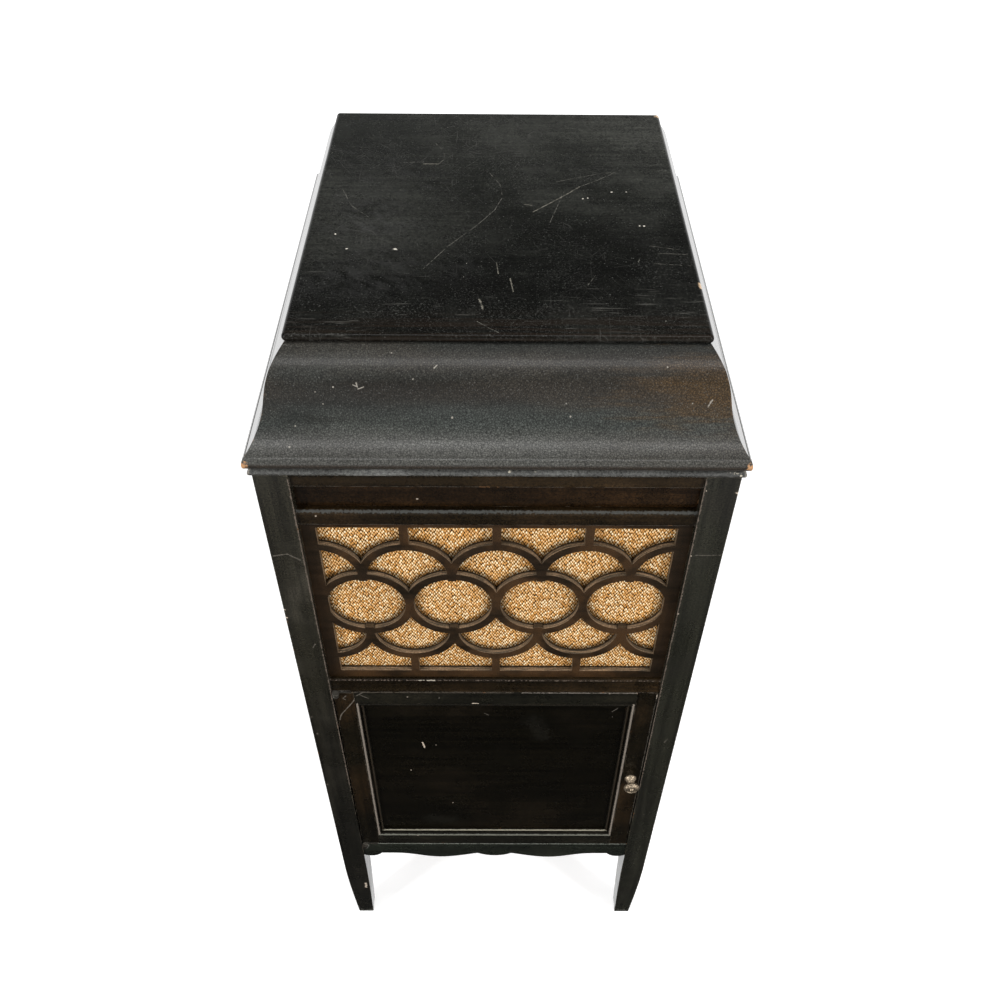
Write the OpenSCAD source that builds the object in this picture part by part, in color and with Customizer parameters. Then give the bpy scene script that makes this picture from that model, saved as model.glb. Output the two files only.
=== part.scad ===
// Upright cabinet gramophone: a framed case on four tapered legs, a lid with an ogee
// edge, a fretted grille over the horn mouth, a record cupboard with a panelled door,
// and a spring motor, turntable, tone arm and winding crank on a board under the lid.
// Origin: on the floor, midway between the outer faces of the four posts.
// +X is to the right of someone who faces the front, +Y is to the back, +Z is up.

/* [Case] */
// Width over the corner posts
case_w = 430; // [416:2:460]
// Depth from the front of the posts to the back panel
case_d = 500; // [490:2:530]
// Side of a square corner post
post_s = 31; // [28:1:34]
// Height over which a foot tapers
taper_h = 160; // [50:5:190]
// Side of a foot on the floor
foot_s = 21.5; // [16:0.5:24]
// Floor to the lowest point of the apron
leg_clear = 197.5; // [150:0.5:230]
// Height of the apron board
apron_h = 41; // [32:0.5:48]
// Height of the door opening
door_open_h = 376; // [350:1:400]
// Height of the rail between grille and door
mid_rail_h = 23; // [18:1:30]
// Height of the grille opening in the frame
grille_h = 252.5; // [250:0.5:270]
// Height of the rail over the grille
bead_rail_h = 17; // [14:1:24]
// Height of the frieze board
frieze_h = 32.5; // [28:0.5:40]
// Height of the top rail
top_rail_h = 16; // [12:1:24]
// Height of the cap moulding
cap_h = 9.2; // [8:0.2:12]
// How far the cap moulding stands past the posts
cap_over = 3; // [1:0.5:4]
// How far rails, apron and door lie behind the front of the posts
rail_set = 2.5; // [1:0.5:4]
// Thickness of the front rails
rail_t = 17.5; // [14:0.5:20]
// How far the frieze board lies behind the front of the posts
frieze_set = 10; // [7:0.5:12]
// Thickness of the side and back panels
panel_t = 12; // [8:1:14]
// How far the side panels lie inside the posts' outer faces
side_set = 3; // [1:0.5:5]
// Thickness of the cupboard's floor and ceiling
shelf_t = 12; // [8:1:16]
// Thickness of a record divider
divider_t = 6; // [4:1:9]
// Number of record dividers
divider_n = 3; // [1:1:5]

/* [Lid] */
// Height of the lid from its lip to its top
lid_h = 88.3; // [84:0.5:96]
// How far the lip stands past the posts
lid_over = 5.5; // [4:0.5:8]
// Horizontal run of the ogee at the sides
lid_side_run = 35.5; // [30:0.5:40]
// Horizontal run of the ogee at the front
lid_run = 79; // [72:1:86]
// Thickness of the top board
lid_top_t = 8.5; // [7:0.5:11]
// How far the top board's nose stands past the ogee
nose_over = 1.8; // [1:0.2:3]
// Height of the rounded lip
lip_h = 13; // [10:0.5:15]
// Thickness of the rail that closes the lid at the back
lid_back_t = 14; // [10:1:18]
// Gap between the lid and the cap moulding
lid_gap = 0.3; // [0.3:0.1:1]
// Widest angle of the open lid
lid_angle = 70; // [60:1:72]

/* [Grille] */
// Thickness of the fret panel
fret_t = 6.5; // [5:0.5:8]
// How far the fret panel lies behind the front of the posts
fret_set = 7.4; // [6:0.2:8]
// Width of the panel's margin at each side of the pierced field
fret_side = 14; // [12:0.5:19]
// Height of the bottom margin under the pierced field
fret_low = 12; // [9:0.5:14]
// Height of the top margin over the pierced field
fret_high = 9.5; // [7:0.5:12]
// Centre line radius of the rings
ring_r = 44; // [43:0.5:45]
// Width of the fret's bands and bars
band_w = 8.6; // [7:0.2:10]
// How far a stub stands into a ring
stub_l = 2.2; // [1:0.2:4]
// Thickness of the grille cloth
cloth_t = 1; // [0.6:0.1:1.6]
// Gap on each face of the cloth
cloth_gap = 0.3; // [0.3:0.1:0.6]

/* [Door] */
// Gap round the door
door_gap = 1; // [0.8:0.1:1.6]
// Thickness of the door frame
door_t = 18; // [16:1:22]
// Width of the door's stiles and rails
stile_w = 23; // [20:1:40]
// How far the panel lies behind the face of the door
panel_set = 7; // [6:0.5:9]
// Thickness of the door panel
door_panel_t = 7; // [5:0.5:8]
// Width of the moulding round the panel
mould_w = 9; // [8:0.5:14]
// Height of the knob over the door's lower edge
knob_z = 182; // [120:1:260]
// Diameter of the knob's head
knob_d = 19.4; // [16:0.2:24]
// Radius of a door hinge's knuckle
knuckle_r = 3.6; // [3:0.1:4.4]
// Widest angle of the open door
door_angle = 120; // [90:5:150]

/* [Motor] */
// Depth of the motor board under the top of the cap moulding
board_drop = 27.7; // [26:0.1:30]
// Thickness of the motor board
board_t = 12; // [10:1:14]
// Turntable centre, left to right
spindle_x = -20; // [-24:1:-16]
// Turntable centre, front to back
spindle_y = -40; // [-44:1:-36]
// Diameter of the turntable
table_d = 304; // [280:1:306]
// Height of the turntable's rim
table_h = 20; // [16:1:20]
// Thickness of the turntable felt
felt_t = 2; // [1:0.5:3]
// Radius of the pin that centres a record
pin_r = 3.55; // [3.4:0.05:3.6]
// Height of that pin over the felt
pin_h = 14; // [10:1:16]
// Gear module, which is the pitch diameter over the teeth
gear_m = 1.25; // [1.25:0.01:1.3]
// Teeth of the two pinions
pinion_n = 12; // [11:1:13]
// Teeth of the intermediate wheel
middle_n = 48; // [46:1:50]
// Teeth of the barrel wheel
barrel_n = 72; // [70:1:74]
// Outer radius of the spring barrel
barrel_r = 42; // [40:0.5:42.5]
// Height of the spring barrel
barrel_h = 30; // [26:1:31]
// Running clearance of a shaft in its bore
run_gap = 0.06; // [0.03:0.01:0.09]

/* [Crank] */
// Radius of the crank rod
rod_r = 5; // [4:0.5:5.5]
// Length of the crank's arm
crank_l = 120; // [100:5:130]
// Angle at which the resting arm hangs under the level, towards the back
crank_rest = 60; // [30:5:85]
// How far the crank's arm stands off the side panel
crank_out = 18; // [16:1:32]
// Length of the crank's grip
grip_l = 52; // [46:1:70]
// Radius of the crank's grip
grip_r = 11; // [9:0.5:13]

/* [Tone arm] */
// Tone arm pivot, measured from the inside of the right side panel
arm_in = 82; // [78:1:86]
// Tone arm pivot, front to back
arm_y = 175; // [171:1:179]
// Pivot to the bend at the tone arm's front end
arm_l = 232; // [222:1:238]
// Height of the tone arm's centre line over the motor board
arm_z = 67; // [64:0.5:69]
// Angle of the parked tone arm, outwards from straight ahead
arm_park = 14; // [12:0.5:15]
// Outer radius of the tone arm at its pivot
arm_r = 14; // [12:0.5:15]
// Radius of the sound box
box_r = 29; // [26:0.5:29]
// Thickness of the sound box
box_t = 14; // [12:0.5:15]

/* [Hidden] */
$fn = 64;

// A hair of space that keeps the mitred lengths of one moulding apart
mitre_gap = 0.1;
// Depth that a cut runs past the face it opens
cut = 1;
// Space round a fixed round piece in its hole
seat_gap = 0.1;

// Heights of the front's parts, from the floor up
z_apron = leg_clear;
z_door = z_apron + apron_h;
z_mid = z_door + door_open_h;
z_grille = z_mid + mid_rail_h;
z_bead = z_grille + grille_h;
z_frieze = z_bead + bead_rail_h;
z_top = z_frieze + frieze_h;
z_cap = z_top + top_rail_h;
z_rim = z_cap + cap_h;
z_lid = z_rim + lid_gap;
z_lid_top = z_lid + lid_h;

// Planes of the case
half_w = case_w / 2;
front_y = -case_d / 2;
back_y = case_d / 2;
post_in = half_w - post_s;
rail_y = front_y + rail_set;
rail_back = rail_y + rail_t;
side_out = half_w - side_set;
side_in = side_out - panel_t;
arm_x = side_in - arm_in;
back_in = back_y - panel_t;
panel_low = z_door - shelf_t - 14;

module slab(x0, x1, y0, y1, z0, z1) {
    translate([x0, y0, z0]) cube([x1 - x0, y1 - y0, z1 - z0]);
}
// Drawn in (Y, Z) and carried along X
module along_x(x0, x1) {
    rotate([90, 0, 90]) translate([0, 0, x0]) linear_extrude(x1 - x0) children();
}
// Drawn in (X, Z) and carried along Y
module along_y(y0, y1) {
    rotate([90, 0, 0]) translate([0, 0, -y1]) linear_extrude(y1 - y0) children();
}
module rod_x(r, x0, x1, y, z) {
    translate([x0, y, z]) rotate([0, 90, 0]) cylinder(r = r, h = x1 - x0);
}
module rod_y(r, y0, y1, x, z) {
    translate([x, y1, z]) rotate([90, 0, 0]) cylinder(r = r, h = y1 - y0);
}
module rod_z(r, z0, z1, x, y) {
    translate([x, y, z0]) cylinder(r = r, h = z1 - z0);
}
module mirrored_x() {
    children();
    mirror([1, 0, 0]) children();
}

// ---- Posts ----
foot_in = 4.5;
foot_out = post_s - foot_s - foot_in;
taper_steps = 8;
taper_power = 1.45;
// Width lost at height z on a face that loses `most` at the floor
function taper(most, z) = most * pow(1 - z / taper_h, taper_power);
function taper_edge(most) = [for (i = [0 : taper_steps]) let (z = taper_h * i / taper_steps)
    [taper(most, z), z]];
// A post seen square on: the outer face at 0, the inner face at post_s
module post_outline() {
    outer = taper_edge(foot_out);
    inner = [for (p = taper_edge(foot_in)) [post_s - p[0], p[1]]];
    polygon(concat(outer, [[0, z_cap], [post_s, z_cap]],
        [for (i = [taper_steps : -1 : 0]) inner[i]]));
}
// Left front post, which the other three mirror
module post() {
    intersection() {
        translate([-half_w, 0, 0]) along_y(front_y, front_y + post_s) post_outline();
        along_x(-half_w, -post_in) translate([front_y, 0]) post_outline();
    }
}
module post_front_left() color("#1c1a17") post();
module post_front_right() color("#1c1a17") mirror([1, 0, 0]) post();
module post_rear_left() color("#1c1a17") mirror([0, 1, 0]) post();
module post_rear_right() color("#1c1a17") mirror([1, 0, 0]) mirror([0, 1, 0]) post();
// The square of each post, to notch a board that passes round it
module post_squares(z0, z1) {
    mirrored_x() {
        slab(-half_w, -post_in, front_y, front_y + post_s, z0, z1);
        slab(-half_w, -post_in, back_y - post_s, back_y, z0, z1);
    }
}

// ---- Panels of the case ----
crank_hole_r = rod_r + 3;
module side_panel() {
    slab(side_in, side_out, front_y + post_s, back_y - post_s, panel_low, z_cap);
}
module side_panel_left() color("#1a1815") mirror([1, 0, 0]) side_panel();
module side_panel_right() color("#1a1815") difference() {
    side_panel();
    rod_x(crank_hole_r + seat_gap, side_in - cut, side_out + cut, barrel_c[1], crank_z);
}
module back_panel() color("#2a2119") {
    slab(-post_in, post_in, back_in, back_y, panel_low, z_cap);
}

// ---- Cap moulding, four mitred lengths with a half round nose ----
cap_w = cap_over + 22;
module cap_profile() {
    nose = cap_h / 2;
    translate([nose, 0]) square([cap_w - nose, cap_h]);
    translate([nose, nose]) circle(nose);
}
cap_x = half_w + cap_over;
cap_y = front_y - cap_over;
module cap_moulding() color("#1e1b17") {
    g = mitre_gap / 2;
    translate([0, 0, z_cap]) {
        intersection() {
            along_x(-cap_x, cap_x) translate([cap_y, 0]) cap_profile();
            linear_extrude(cap_h) polygon([[-cap_x + g, cap_y], [cap_x - g, cap_y],
                [cap_x - cap_w - g, cap_y + cap_w], [-cap_x + cap_w + g, cap_y + cap_w]]);
        }
        mirrored_x() intersection() {
            translate([-cap_x, 0, 0]) along_y(cap_y, back_y) cap_profile();
            linear_extrude(cap_h) polygon([[-cap_x, cap_y + g], [-cap_x, back_y],
                [-cap_x + cap_w, back_y], [-cap_x + cap_w, cap_y + cap_w + g]]);
        }
        slab(-cap_x + cap_w + g, cap_x - cap_w - g, back_in, back_y, 0, cap_h);
    }
}

// ---- Front rails ----
// A rail seen from its end, with its upper front edge rounded
module rail_profile(z0, z1, r) {
    translate([rail_y + r, z0]) square([rail_t - r, z1 - z0]);
    translate([rail_y, z0]) square([r, z1 - z0 - r]);
    translate([rail_y + r, z1 - r]) circle(r);
}
module rail(z0, z1, r) {
    along_x(-post_in, post_in) rail_profile(z0, z1, r);
}
module top_rail() color("#1b1916") rail(z_top, z_cap, 1.5);
module frieze_board() color("#2b2019") {
    slab(-post_in, post_in, front_y + frieze_set, rail_back, z_frieze, z_top);
}
module bead_rail() color("#1d1a16") rail(z_bead, z_frieze, 4);
// The door hinges' case leaves are let into the underside of the middle rail
module middle_rail() color("#1c1a16") difference() {
    rail(z_grille - mid_rail_h, z_grille, 2);
    hinge_leaf_space(z_mid);
}

// ---- Fret panel ----
fret_y = front_y + fret_set;
fret_w = 2 * (post_in - fret_side);
fret_z0 = z_grille + fret_low;
fret_h = grille_h - fret_low - fret_high;
fret_zc = fret_z0 + fret_h / 2;
module ring2d(x, z) {
    translate([x, z]) difference() {
        circle(ring_r + band_w / 2);
        circle(ring_r - band_w / 2);
    }
}
// The upper half of a ring whose centre is at height z
module arch2d(x, z) {
    intersection() {
        ring2d(x, z);
        translate([x - 2 * ring_r, z]) square([4 * ring_r, 2 * ring_r]);
    }
}
// Rings in the middle, arches that spring from their tops, bars from the arches' peaks
module fret_half() {
    for (i = [-2 : 2]) arch2d(i * 2 * ring_r, ring_r);
    for (i = [-1 : 1]) translate([i * 2 * ring_r - band_w / 2, 2 * ring_r])
        square([band_w, fret_h]);
    for (i = [-1.5 : 1.5]) translate([i * 2 * ring_r - band_w / 2,
        ring_r - band_w / 2 - stub_l]) square([band_w, band_w + stub_l]);
}
module fret_outline() {
    difference() {
        translate([-post_in, z_grille]) square([2 * post_in, grille_h]);
        translate([-fret_w / 2, fret_z0]) square([fret_w, fret_h]);
    }
    intersection() {
        translate([-fret_w / 2 - cut, fret_z0 - cut]) square([fret_w + 2 * cut, fret_h + 2 * cut]);
        translate([0, fret_zc]) {
            for (i = [-1.5 : 1.5]) ring2d(i * 2 * ring_r, 0);
            fret_half();
            mirror([0, 1]) fret_half();
        }
    }
}
module fret_panel() color("#231c15") along_y(fret_y, fret_y + fret_t) fret_outline();

cloth_y = fret_y + fret_t + cloth_gap;
cloth_back = cloth_y + cloth_t;
cloth_in = 4;
module grille_cloth() color("#b48a50") {
    slab(-post_in + cloth_in, post_in - cloth_in, cloth_y, cloth_back,
        z_grille + cloth_in, z_bead - cloth_in);
}

// ---- Apron: a short bulge between two long ones, and a lobe against each post ----
bulge_drop = 11.7;
mid_half = 23.5;
mid_drop = 7.5;
low_x = 77;
flat_x = 139;
lobe_half = 15;
lobe_drop = 9;
lobe_x = post_in - 10;
// A round bulge whose chord lies at the apron's straight edge
module bulge(x, half, h) {
    r = (half * half + h * h) / (2 * h);
    translate([x, z_apron + bulge_drop]) intersection() {
        translate([0, r - h]) circle(r, $fn = 128);
        translate([-half - cut, -h - cut]) square([2 * (half + cut), h + cut]);
    }
}
// The long bulge as (x, drop): it starts a little off the middle one, and eases out to the post
near_x = mid_half + 1;
long_near = [[near_x, 0], [45, 6.5], [60, bulge_drop], [low_x, bulge_drop]];
long_far = [[low_x, bulge_drop], [99, bulge_drop], [112, 0.2], [flat_x, 0]];
long_edge = concat([for (i = [0 : 7]) bezier(long_near, i / 8)],
    [for (i = [0 : 8]) bezier(long_far, i / 8)]);
module apron_outline() {
    edge_z = z_apron + bulge_drop;
    translate([-post_in, edge_z]) square([2 * post_in, apron_h - bulge_drop]);
    bulge(0, mid_half, mid_drop);
    mirrored_x() {
        polygon([for (p = long_edge) [p[0], edge_z - p[1]]]);
        intersection() {
            bulge(lobe_x, lobe_half, lobe_drop);
            translate([0, z_apron]) square([post_in, apron_h]);
        }
    }
}
module apron() color("#1b1916") difference() {
    along_y(rail_y, rail_back) apron_outline();
    hinge_leaf_space(z_door - hinge_leaf_t);
}

// ---- Cupboard ----
module shelf(z0, z1) {
    difference() {
        slab(-side_in, side_in, rail_back, back_in, z0, z1);
        post_squares(z0 - cut, z1 + cut);
    }
}
ceiling_z = z_mid + 4;
module cupboard_floor() color("#3a2a1c") shelf(z_door - shelf_t, z_door);
module cupboard_ceiling() color("#3a2a1c") shelf(ceiling_z, ceiling_z + shelf_t);
bay = 2 * side_in / (divider_n + 1);
divider_front = front_y + post_s + 12;
module record_dividers() color("#4a3521") {
    for (i = [1 : divider_n]) translate([-side_in + i * bay - divider_t / 2, 0, 0])
        slab(0, divider_t, divider_front, back_in, z_door, ceiling_z);
}

// ---- Motor board ----
board_z = z_rim - board_drop;
board_low = board_z - board_t;
spindle_hole_r = 12;
arm_hole_r = 24;
slot_side = 3;
cup_r = 15;
cup_wall = 1.2;
cup_rim = 5;
cup_h = 10;
cup_from_side = 40;
cup_from_front = 35;
cup_pitch = 45;
cup_x = side_in - cup_from_side;
cup_at = [for (i = [0 : 1]) [cup_x, rail_back + cup_from_front + i * cup_pitch]];
module board_holes() {
    rod_z(spindle_hole_r, board_low - cut, board_z + cut, spindle_x, spindle_y);
    rod_z(arm_hole_r + seat_gap, board_low - cut, board_z + cut, arm_x, arm_y);
    for (c = cup_at) rod_z(cup_r + cup_wall + seat_gap, board_low - cut, board_z + cut, c[0], c[1]);
    slab(stay_x - slot_side, stay_x + stay_t + slot_side, guide_y0 - 2, guide_y1 + slot_side,
        board_low - cut, board_z + cut);
    for (p = [brake_at, speed_at])
        rod_z(screw_r + seat_gap, board_z - screw_l - seat_gap, board_z + cut, p[0], p[1]);
}
module motor_board() color("#35261a") difference() {
    slab(-side_in, side_in, rail_back, back_in, board_low, board_z);
    post_squares(board_low - cut, board_z + cut);
    board_holes();
}
cleat_w = 12;
cleat_h = 16;
module board_cleats() color("#4a3521") mirrored_x() {
    slab(side_in - cleat_w, side_in, front_y + post_s, back_y - post_s, board_low - cleat_h,
        board_low);
}
// Two pressed bowls whose rims lie on the board
module needle_cups() color("#b8893a") {
    for (c = cup_at) translate([c[0], c[1], board_z]) rotate_extrude()
        polygon([[0, -cup_h], [cup_r - 4, -cup_h], [cup_r, -cup_h + 4], [cup_r, cup_wall],
            [cup_r + cup_rim, cup_wall], [cup_r + cup_rim, 0], [cup_r + cup_wall, 0],
            [cup_r + cup_wall, -cup_h + 3], [cup_r - 3, -cup_h - cup_wall],
            [0, -cup_h - cup_wall]]);
}

// ---- Horn: four tapering boards from the grille to a cast elbow ----
horn_t = 8;
elbow_flange_t = 5;
elbow_bend = 40;
elbow_r = 26;
elbow_bore = 22;
elbow_y = arm_y - elbow_bend - 5;
elbow_collar_r = 34;
elbow_collar_t = 4;
horn_y0 = cloth_back + cloth_gap;
horn_y1 = elbow_y - elbow_flange_t;
mouth = [-fret_w / 2, fret_w / 2, fret_z0, z_bead - horn_t - 2];
throat_r = 25;
throat_drop = 188;
throat_z = z_bead - throat_drop;
throat = [arm_x - throat_r, arm_x + throat_r, throat_z - throat_r, throat_z + throat_r];
// Corner of the horn's inside at an end, moved out by t; sx and sz choose the side
function corner(end, y, sx, sz, t) =
    [sx < 0 ? end[0] - t : end[1] + t, y, sz < 0 ? end[2] - t : end[3] + t];
// A board between two corners of the horn, each given as [sx, sz]
module horn_board(a, b) {
    p = [for (e = [[mouth, horn_y0], [throat, horn_y1]]) for (t = [0, horn_t])
        for (c = [a, b]) corner(e[0], e[1], c[0], c[1], t)];
    hull() polyhedron(points = p, faces = [[0, 1, 3, 2], [4, 6, 7, 5], [0, 4, 5, 1],
        [2, 3, 7, 6], [0, 2, 6, 4], [1, 5, 7, 3]]);
}
module horn_top() color("#5a4126") horn_board([-1, 1], [1, 1]);
module horn_bottom() color("#5a4126") horn_board([-1, -1], [1, -1]);
module horn_cheeks() color("#5a4126") {
    horn_board([-1, -1], [-1, 1]);
    horn_board([1, -1], [1, 1]);
}
// The elbow's pipe of radius r, from the throat up to the motor board
module elbow_pipe(r) {
    rod_y(r, horn_y1 + cut / 2, arm_y - elbow_bend, arm_x, throat_z);
    translate([arm_x, arm_y - elbow_bend, throat_z + elbow_bend]) rotate([0, 90, 0])
        rotate_extrude(angle = 90) translate([elbow_bend, 0]) circle(r);
    rod_z(r, throat_z + elbow_bend, board_low - cut / 2, arm_x, arm_y);
}
module horn_elbow() color("#2e2d2b") difference() {
    union() {
        slab(throat[0] - horn_t, throat[1] + horn_t, horn_y1, elbow_y,
            throat[2] - horn_t, throat[3] + horn_t);
        elbow_pipe(elbow_r);
        rod_z(elbow_collar_r, board_low - elbow_collar_t, board_low, arm_x, arm_y);
    }
    elbow_pipe(elbow_bore);
    rod_y(elbow_bore, horn_y1 - cut, elbow_y + cut, arm_x, throat_z);
    rod_z(elbow_bore, board_low - elbow_collar_t - cut, board_low + cut, arm_x, arm_y);
}

// ---- Lid ----
lid_x = half_w + lid_over;
lid_y = front_y - lid_over;
lid_flat_x = lid_x - lid_side_run;
lid_flat_y = lid_y + lid_run;
lip_r = lip_h / 2;
ogee_h = lid_h - lid_top_t;
ogee_steps = 8;
lip_steps = 8;
function bezier(p, t) = pow(1 - t, 3) * p[0] + 3 * pow(1 - t, 2) * t * p[1]
    + 3 * (1 - t) * t * t * p[2] + pow(t, 3) * p[3];
function ogee_at(f, g) = [f * lid_run, lid_top_t + g * ogee_h];
// The ogee as (run, drop) from the edge of the flat top: a convex curve, then a hollow one
hip = ogee_at(0.487, 0.44);
swell = [ogee_at(0, 0), ogee_at(0.33, 0.10), ogee_at(0.405, 0.22), hip];
flare = [hip, ogee_at(0.557, 0.645), ogee_at(0.709, 0.77), [lid_run - lip_r, lid_h - lip_h]];
ogee_outer = concat([for (i = [0 : ogee_steps]) bezier(swell, i / ogee_steps)],
    [for (i = [1 : ogee_steps]) bezier(flare, i / ogee_steps)],
    [for (i = [1 : lip_steps]) let (a = 90 - 180 * i / lip_steps)
        [lid_run - lip_r + lip_r * cos(a), lid_h - lip_r - lip_r * sin(a)]]);
ogee_inner = [ogee_at(0.57, 1), ogee_at(0.39, 0.795), ogee_at(0.30, 0.48),
    ogee_at(0.18, 0.28), ogee_at(-0.127, 0.144), ogee_at(-0.127, 0)];
// The moulding's section with its run scaled by k, the drop turned into a height
module ogee_section(k) {
    polygon([for (p = concat(ogee_outer, ogee_inner)) [-k * p[0], z_lid_top - p[1]]]);
}
side_k = lid_side_run / lid_run;
mitre_in = 20;
mitre_out = 5;
// Plan of the right hand mitre: a point on its line at a given run
function mitre(run) = [lid_flat_x + side_k * run, lid_flat_y - run];
module lid_front() color("#24241f") intersection() {
    along_x(-lid_x, lid_x) translate([lid_flat_y, 0]) ogee_section(1);
    a = mitre(-mitre_in);
    b = mitre(lid_run + mitre_out);
    translate([0, 0, z_lid]) linear_extrude(lid_h)
        polygon([[-a[0], a[1]], a, b, [-b[0], b[1]]]);
}
module lid_side() {
    a = mitre(-mitre_in);
    b = mitre(lid_run + mitre_out);
    intersection() {
        translate([lid_flat_x, 0, 0]) along_y(lid_y, back_y) mirror([1, 0]) ogee_section(side_k);
        translate([0, 0, z_lid]) linear_extrude(lid_h)
            polygon([a, [a[0], back_y], [b[0], back_y], b]);
    }
}
module lid_right() color("#24241f") lid_side();
module lid_left() color("#24241f") mirror([1, 0, 0]) lid_side();
// A board with a full round nose on its front and side edges
module lid_top() color("#191713") {
    r = lid_top_t / 2;
    x = lid_flat_x + nose_over - r;
    y = lid_flat_y - nose_over + r;
    z = z_lid_top - r;
    slab(-x, x, y, back_y, z - r, z + r);
    rod_x(r, -x, x, y, z);
    mirrored_x() {
        rod_y(r, y, back_y, x, z);
        translate([x, y, z]) sphere(r);
    }
}
module lid_back() color("#1c1a16") {
    edge = [for (p = ogee_inner) [lid_flat_x + side_k * p[0] - mitre_gap, z_lid_top - p[1]]];
    along_y(back_y - lid_back_t, back_y)
        polygon(concat(edge, [for (i = [len(edge) - 1 : -1 : 0]) [-edge[i][0], edge[i][1]]]));
}

// ---- Lid hinges ----
hinge_l = 50;
hinge_x = 120;
hinge_r = 3.2;
hinge_pin_r = 1.6;
leaf_t = 1.6;
leaf_h = 26;
knuckle_gap = 0.3;
hinge_y = back_y + hinge_r + knuckle_gap;
hinge_z = z_lid - lid_gap / 2;
// One leaf of a hinge; up is 1 for the lid's leaf and -1 for the case's
module hinge_plate(up, x0, x1) {
    z0 = hinge_z + up * (hinge_r + 0.8);
    slab(x0, x1, back_y, back_y + leaf_t, min(z0, hinge_z + up * leaf_h),
        max(z0, hinge_z + up * leaf_h));
}
// A knuckle with the tongue that ties it to its leaf
module hinge_knuckle(up, x0, x1) {
    rod_x(hinge_r, x0, x1, hinge_y, hinge_z);
    slab(x0, x1, back_y + knuckle_gap, back_y + leaf_t, min(hinge_z, hinge_z + up * (hinge_r + 1)),
        max(hinge_z, hinge_z + up * (hinge_r + 1)));
}
module each_hinge() {
    for (s = [-1, 1]) translate([s * hinge_x - hinge_l / 2, 0, 0]) children();
}
third = hinge_l / 3;
module lid_hinge_case_leaves() color("#8a6d3a") each_hinge() {
    hinge_plate(-1, 0, hinge_l);
    hinge_knuckle(-1, 0, third - knuckle_gap);
    hinge_knuckle(-1, 2 * third + knuckle_gap, hinge_l);
    rod_x(hinge_pin_r, cut, hinge_l - cut, hinge_y, hinge_z);
}
module lid_hinge_lid_leaves() color("#8a6d3a") each_hinge() difference() {
    union() {
        hinge_plate(1, 0, hinge_l);
        hinge_knuckle(1, third, 2 * third);
    }
    rod_x(hinge_pin_r + run_gap, 0, hinge_l, hinge_y, hinge_z);
}

// ---- Lid stay: a quadrant about the hinge axis that slides through the motor board ----
stay_r = 200;
stay_w = 10;
stay_t = 3;
stay_from_side = 24;
stay_x = side_in - stay_from_side;
stay_up = 5;
stop_r = 3;
stay_fit = 0.3;
guide_t = 1.5;
stay_foot_h = 16;
// Angle under the hinge's level at which the stay's centre line passes height z
function stay_angle(z) = asin((hinge_z - z) / stay_r);
function stay_y(r, z) = hinge_y - sqrt(r * r - pow(hinge_z - z, 2));
guide_y0 = stay_y(stay_r + stay_w / 2, board_z + guide_t) - stay_fit;
guide_y1 = stay_y(stay_r - stay_w / 2, board_z) + stay_fit;
stop_angle = lid_angle + stay_angle(board_low - stop_r - cut);
stay_end = stop_angle + 1.8;
stay_root_y = hinge_y - stay_r * cos(stay_up);
// The lid side's inner face at a drop v, from the two inner points around it
function inner_run(v) = lookup(v, [for (i = [len(ogee_inner) - 1 : -1 : 0])
    [ogee_inner[i][1], ogee_inner[i][0]]]);
stay_reach = lid_flat_x + side_k * inner_run(z_lid_top - z_lid - stay_up - stay_foot_h)
    - stay_fit;
module lid_stay() color("#7d6a45") {
    translate([stay_x, hinge_y, hinge_z]) rotate([0, 90, 0]) rotate([0, 0, 270 - stay_up])
        rotate_extrude(angle = stay_end + stay_up, $fn = 180)
            translate([stay_r - stay_w / 2, 0]) square([stay_w, stay_t]);
    a = stop_angle;
    rod_x(stop_r, stay_x - 3, stay_x + stay_t + 3, hinge_y - stay_r * cos(a),
        hinge_z - stay_r * sin(a));
    slab(stay_x, stay_reach, stay_root_y - stay_w / 2, stay_root_y + stay_w / 2,
        z_lid + stay_up, z_lid + stay_up + stay_foot_h);
}
module stay_guide() color("#8a6d3a") difference() {
    slab(stay_x - 7, stay_x + stay_t + 7, guide_y0 - 9, guide_y1 + 9, board_z, board_z + guide_t);
    slab(stay_x - stay_fit, stay_x + stay_t + stay_fit, guide_y0, guide_y1, board_z - cut,
        board_z + guide_t + cut);
}

// ---- Door ----
door_x = post_in - door_gap;
door_z0 = z_door + door_gap;
door_z1 = z_mid - door_gap;
door_back = rail_y + door_t;
field_x = door_x - stile_w;
field_z0 = door_z0 + stile_w;
field_z1 = door_z1 - stile_w;
module door_stiles() color("#1f1a15") difference() {
    mirrored_x() slab(field_x, door_x, rail_y, door_back, door_z0, door_z1);
    hinge_leaf_space(door_z1 - hinge_leaf_t);
    hinge_leaf_space(door_z0);
}
module door_rails() color("#1b1916") {
    slab(-field_x, field_x, rail_y, door_back, field_z1, door_z1);
    slab(-field_x, field_x, rail_y, door_back, door_z0, field_z0);
}
module door_panel() color("#15130f") {
    slab(-field_x, field_x, rail_y + panel_set, rail_y + panel_set + door_panel_t,
        field_z0, field_z1);
}
bead_r = 2.2;
// Section of the panel moulding: across from the frame, and forwards from the panel
module mould_profile() {
    low = 2;
    square([mould_w - bead_r, low]);
    square([2 * bead_r, panel_set - bead_r]);
    translate([bead_r, panel_set - bead_r + 0.6]) circle(bead_r);
    square([2 * bead_r, panel_set - bead_r + 0.6]);
    translate([mould_w - bead_r, 0]) intersection() {
        circle(bead_r + 0.6);
        translate([-2 * bead_r, 0]) square([3 * bead_r, 2 * bead_r]);
    }
}
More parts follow.
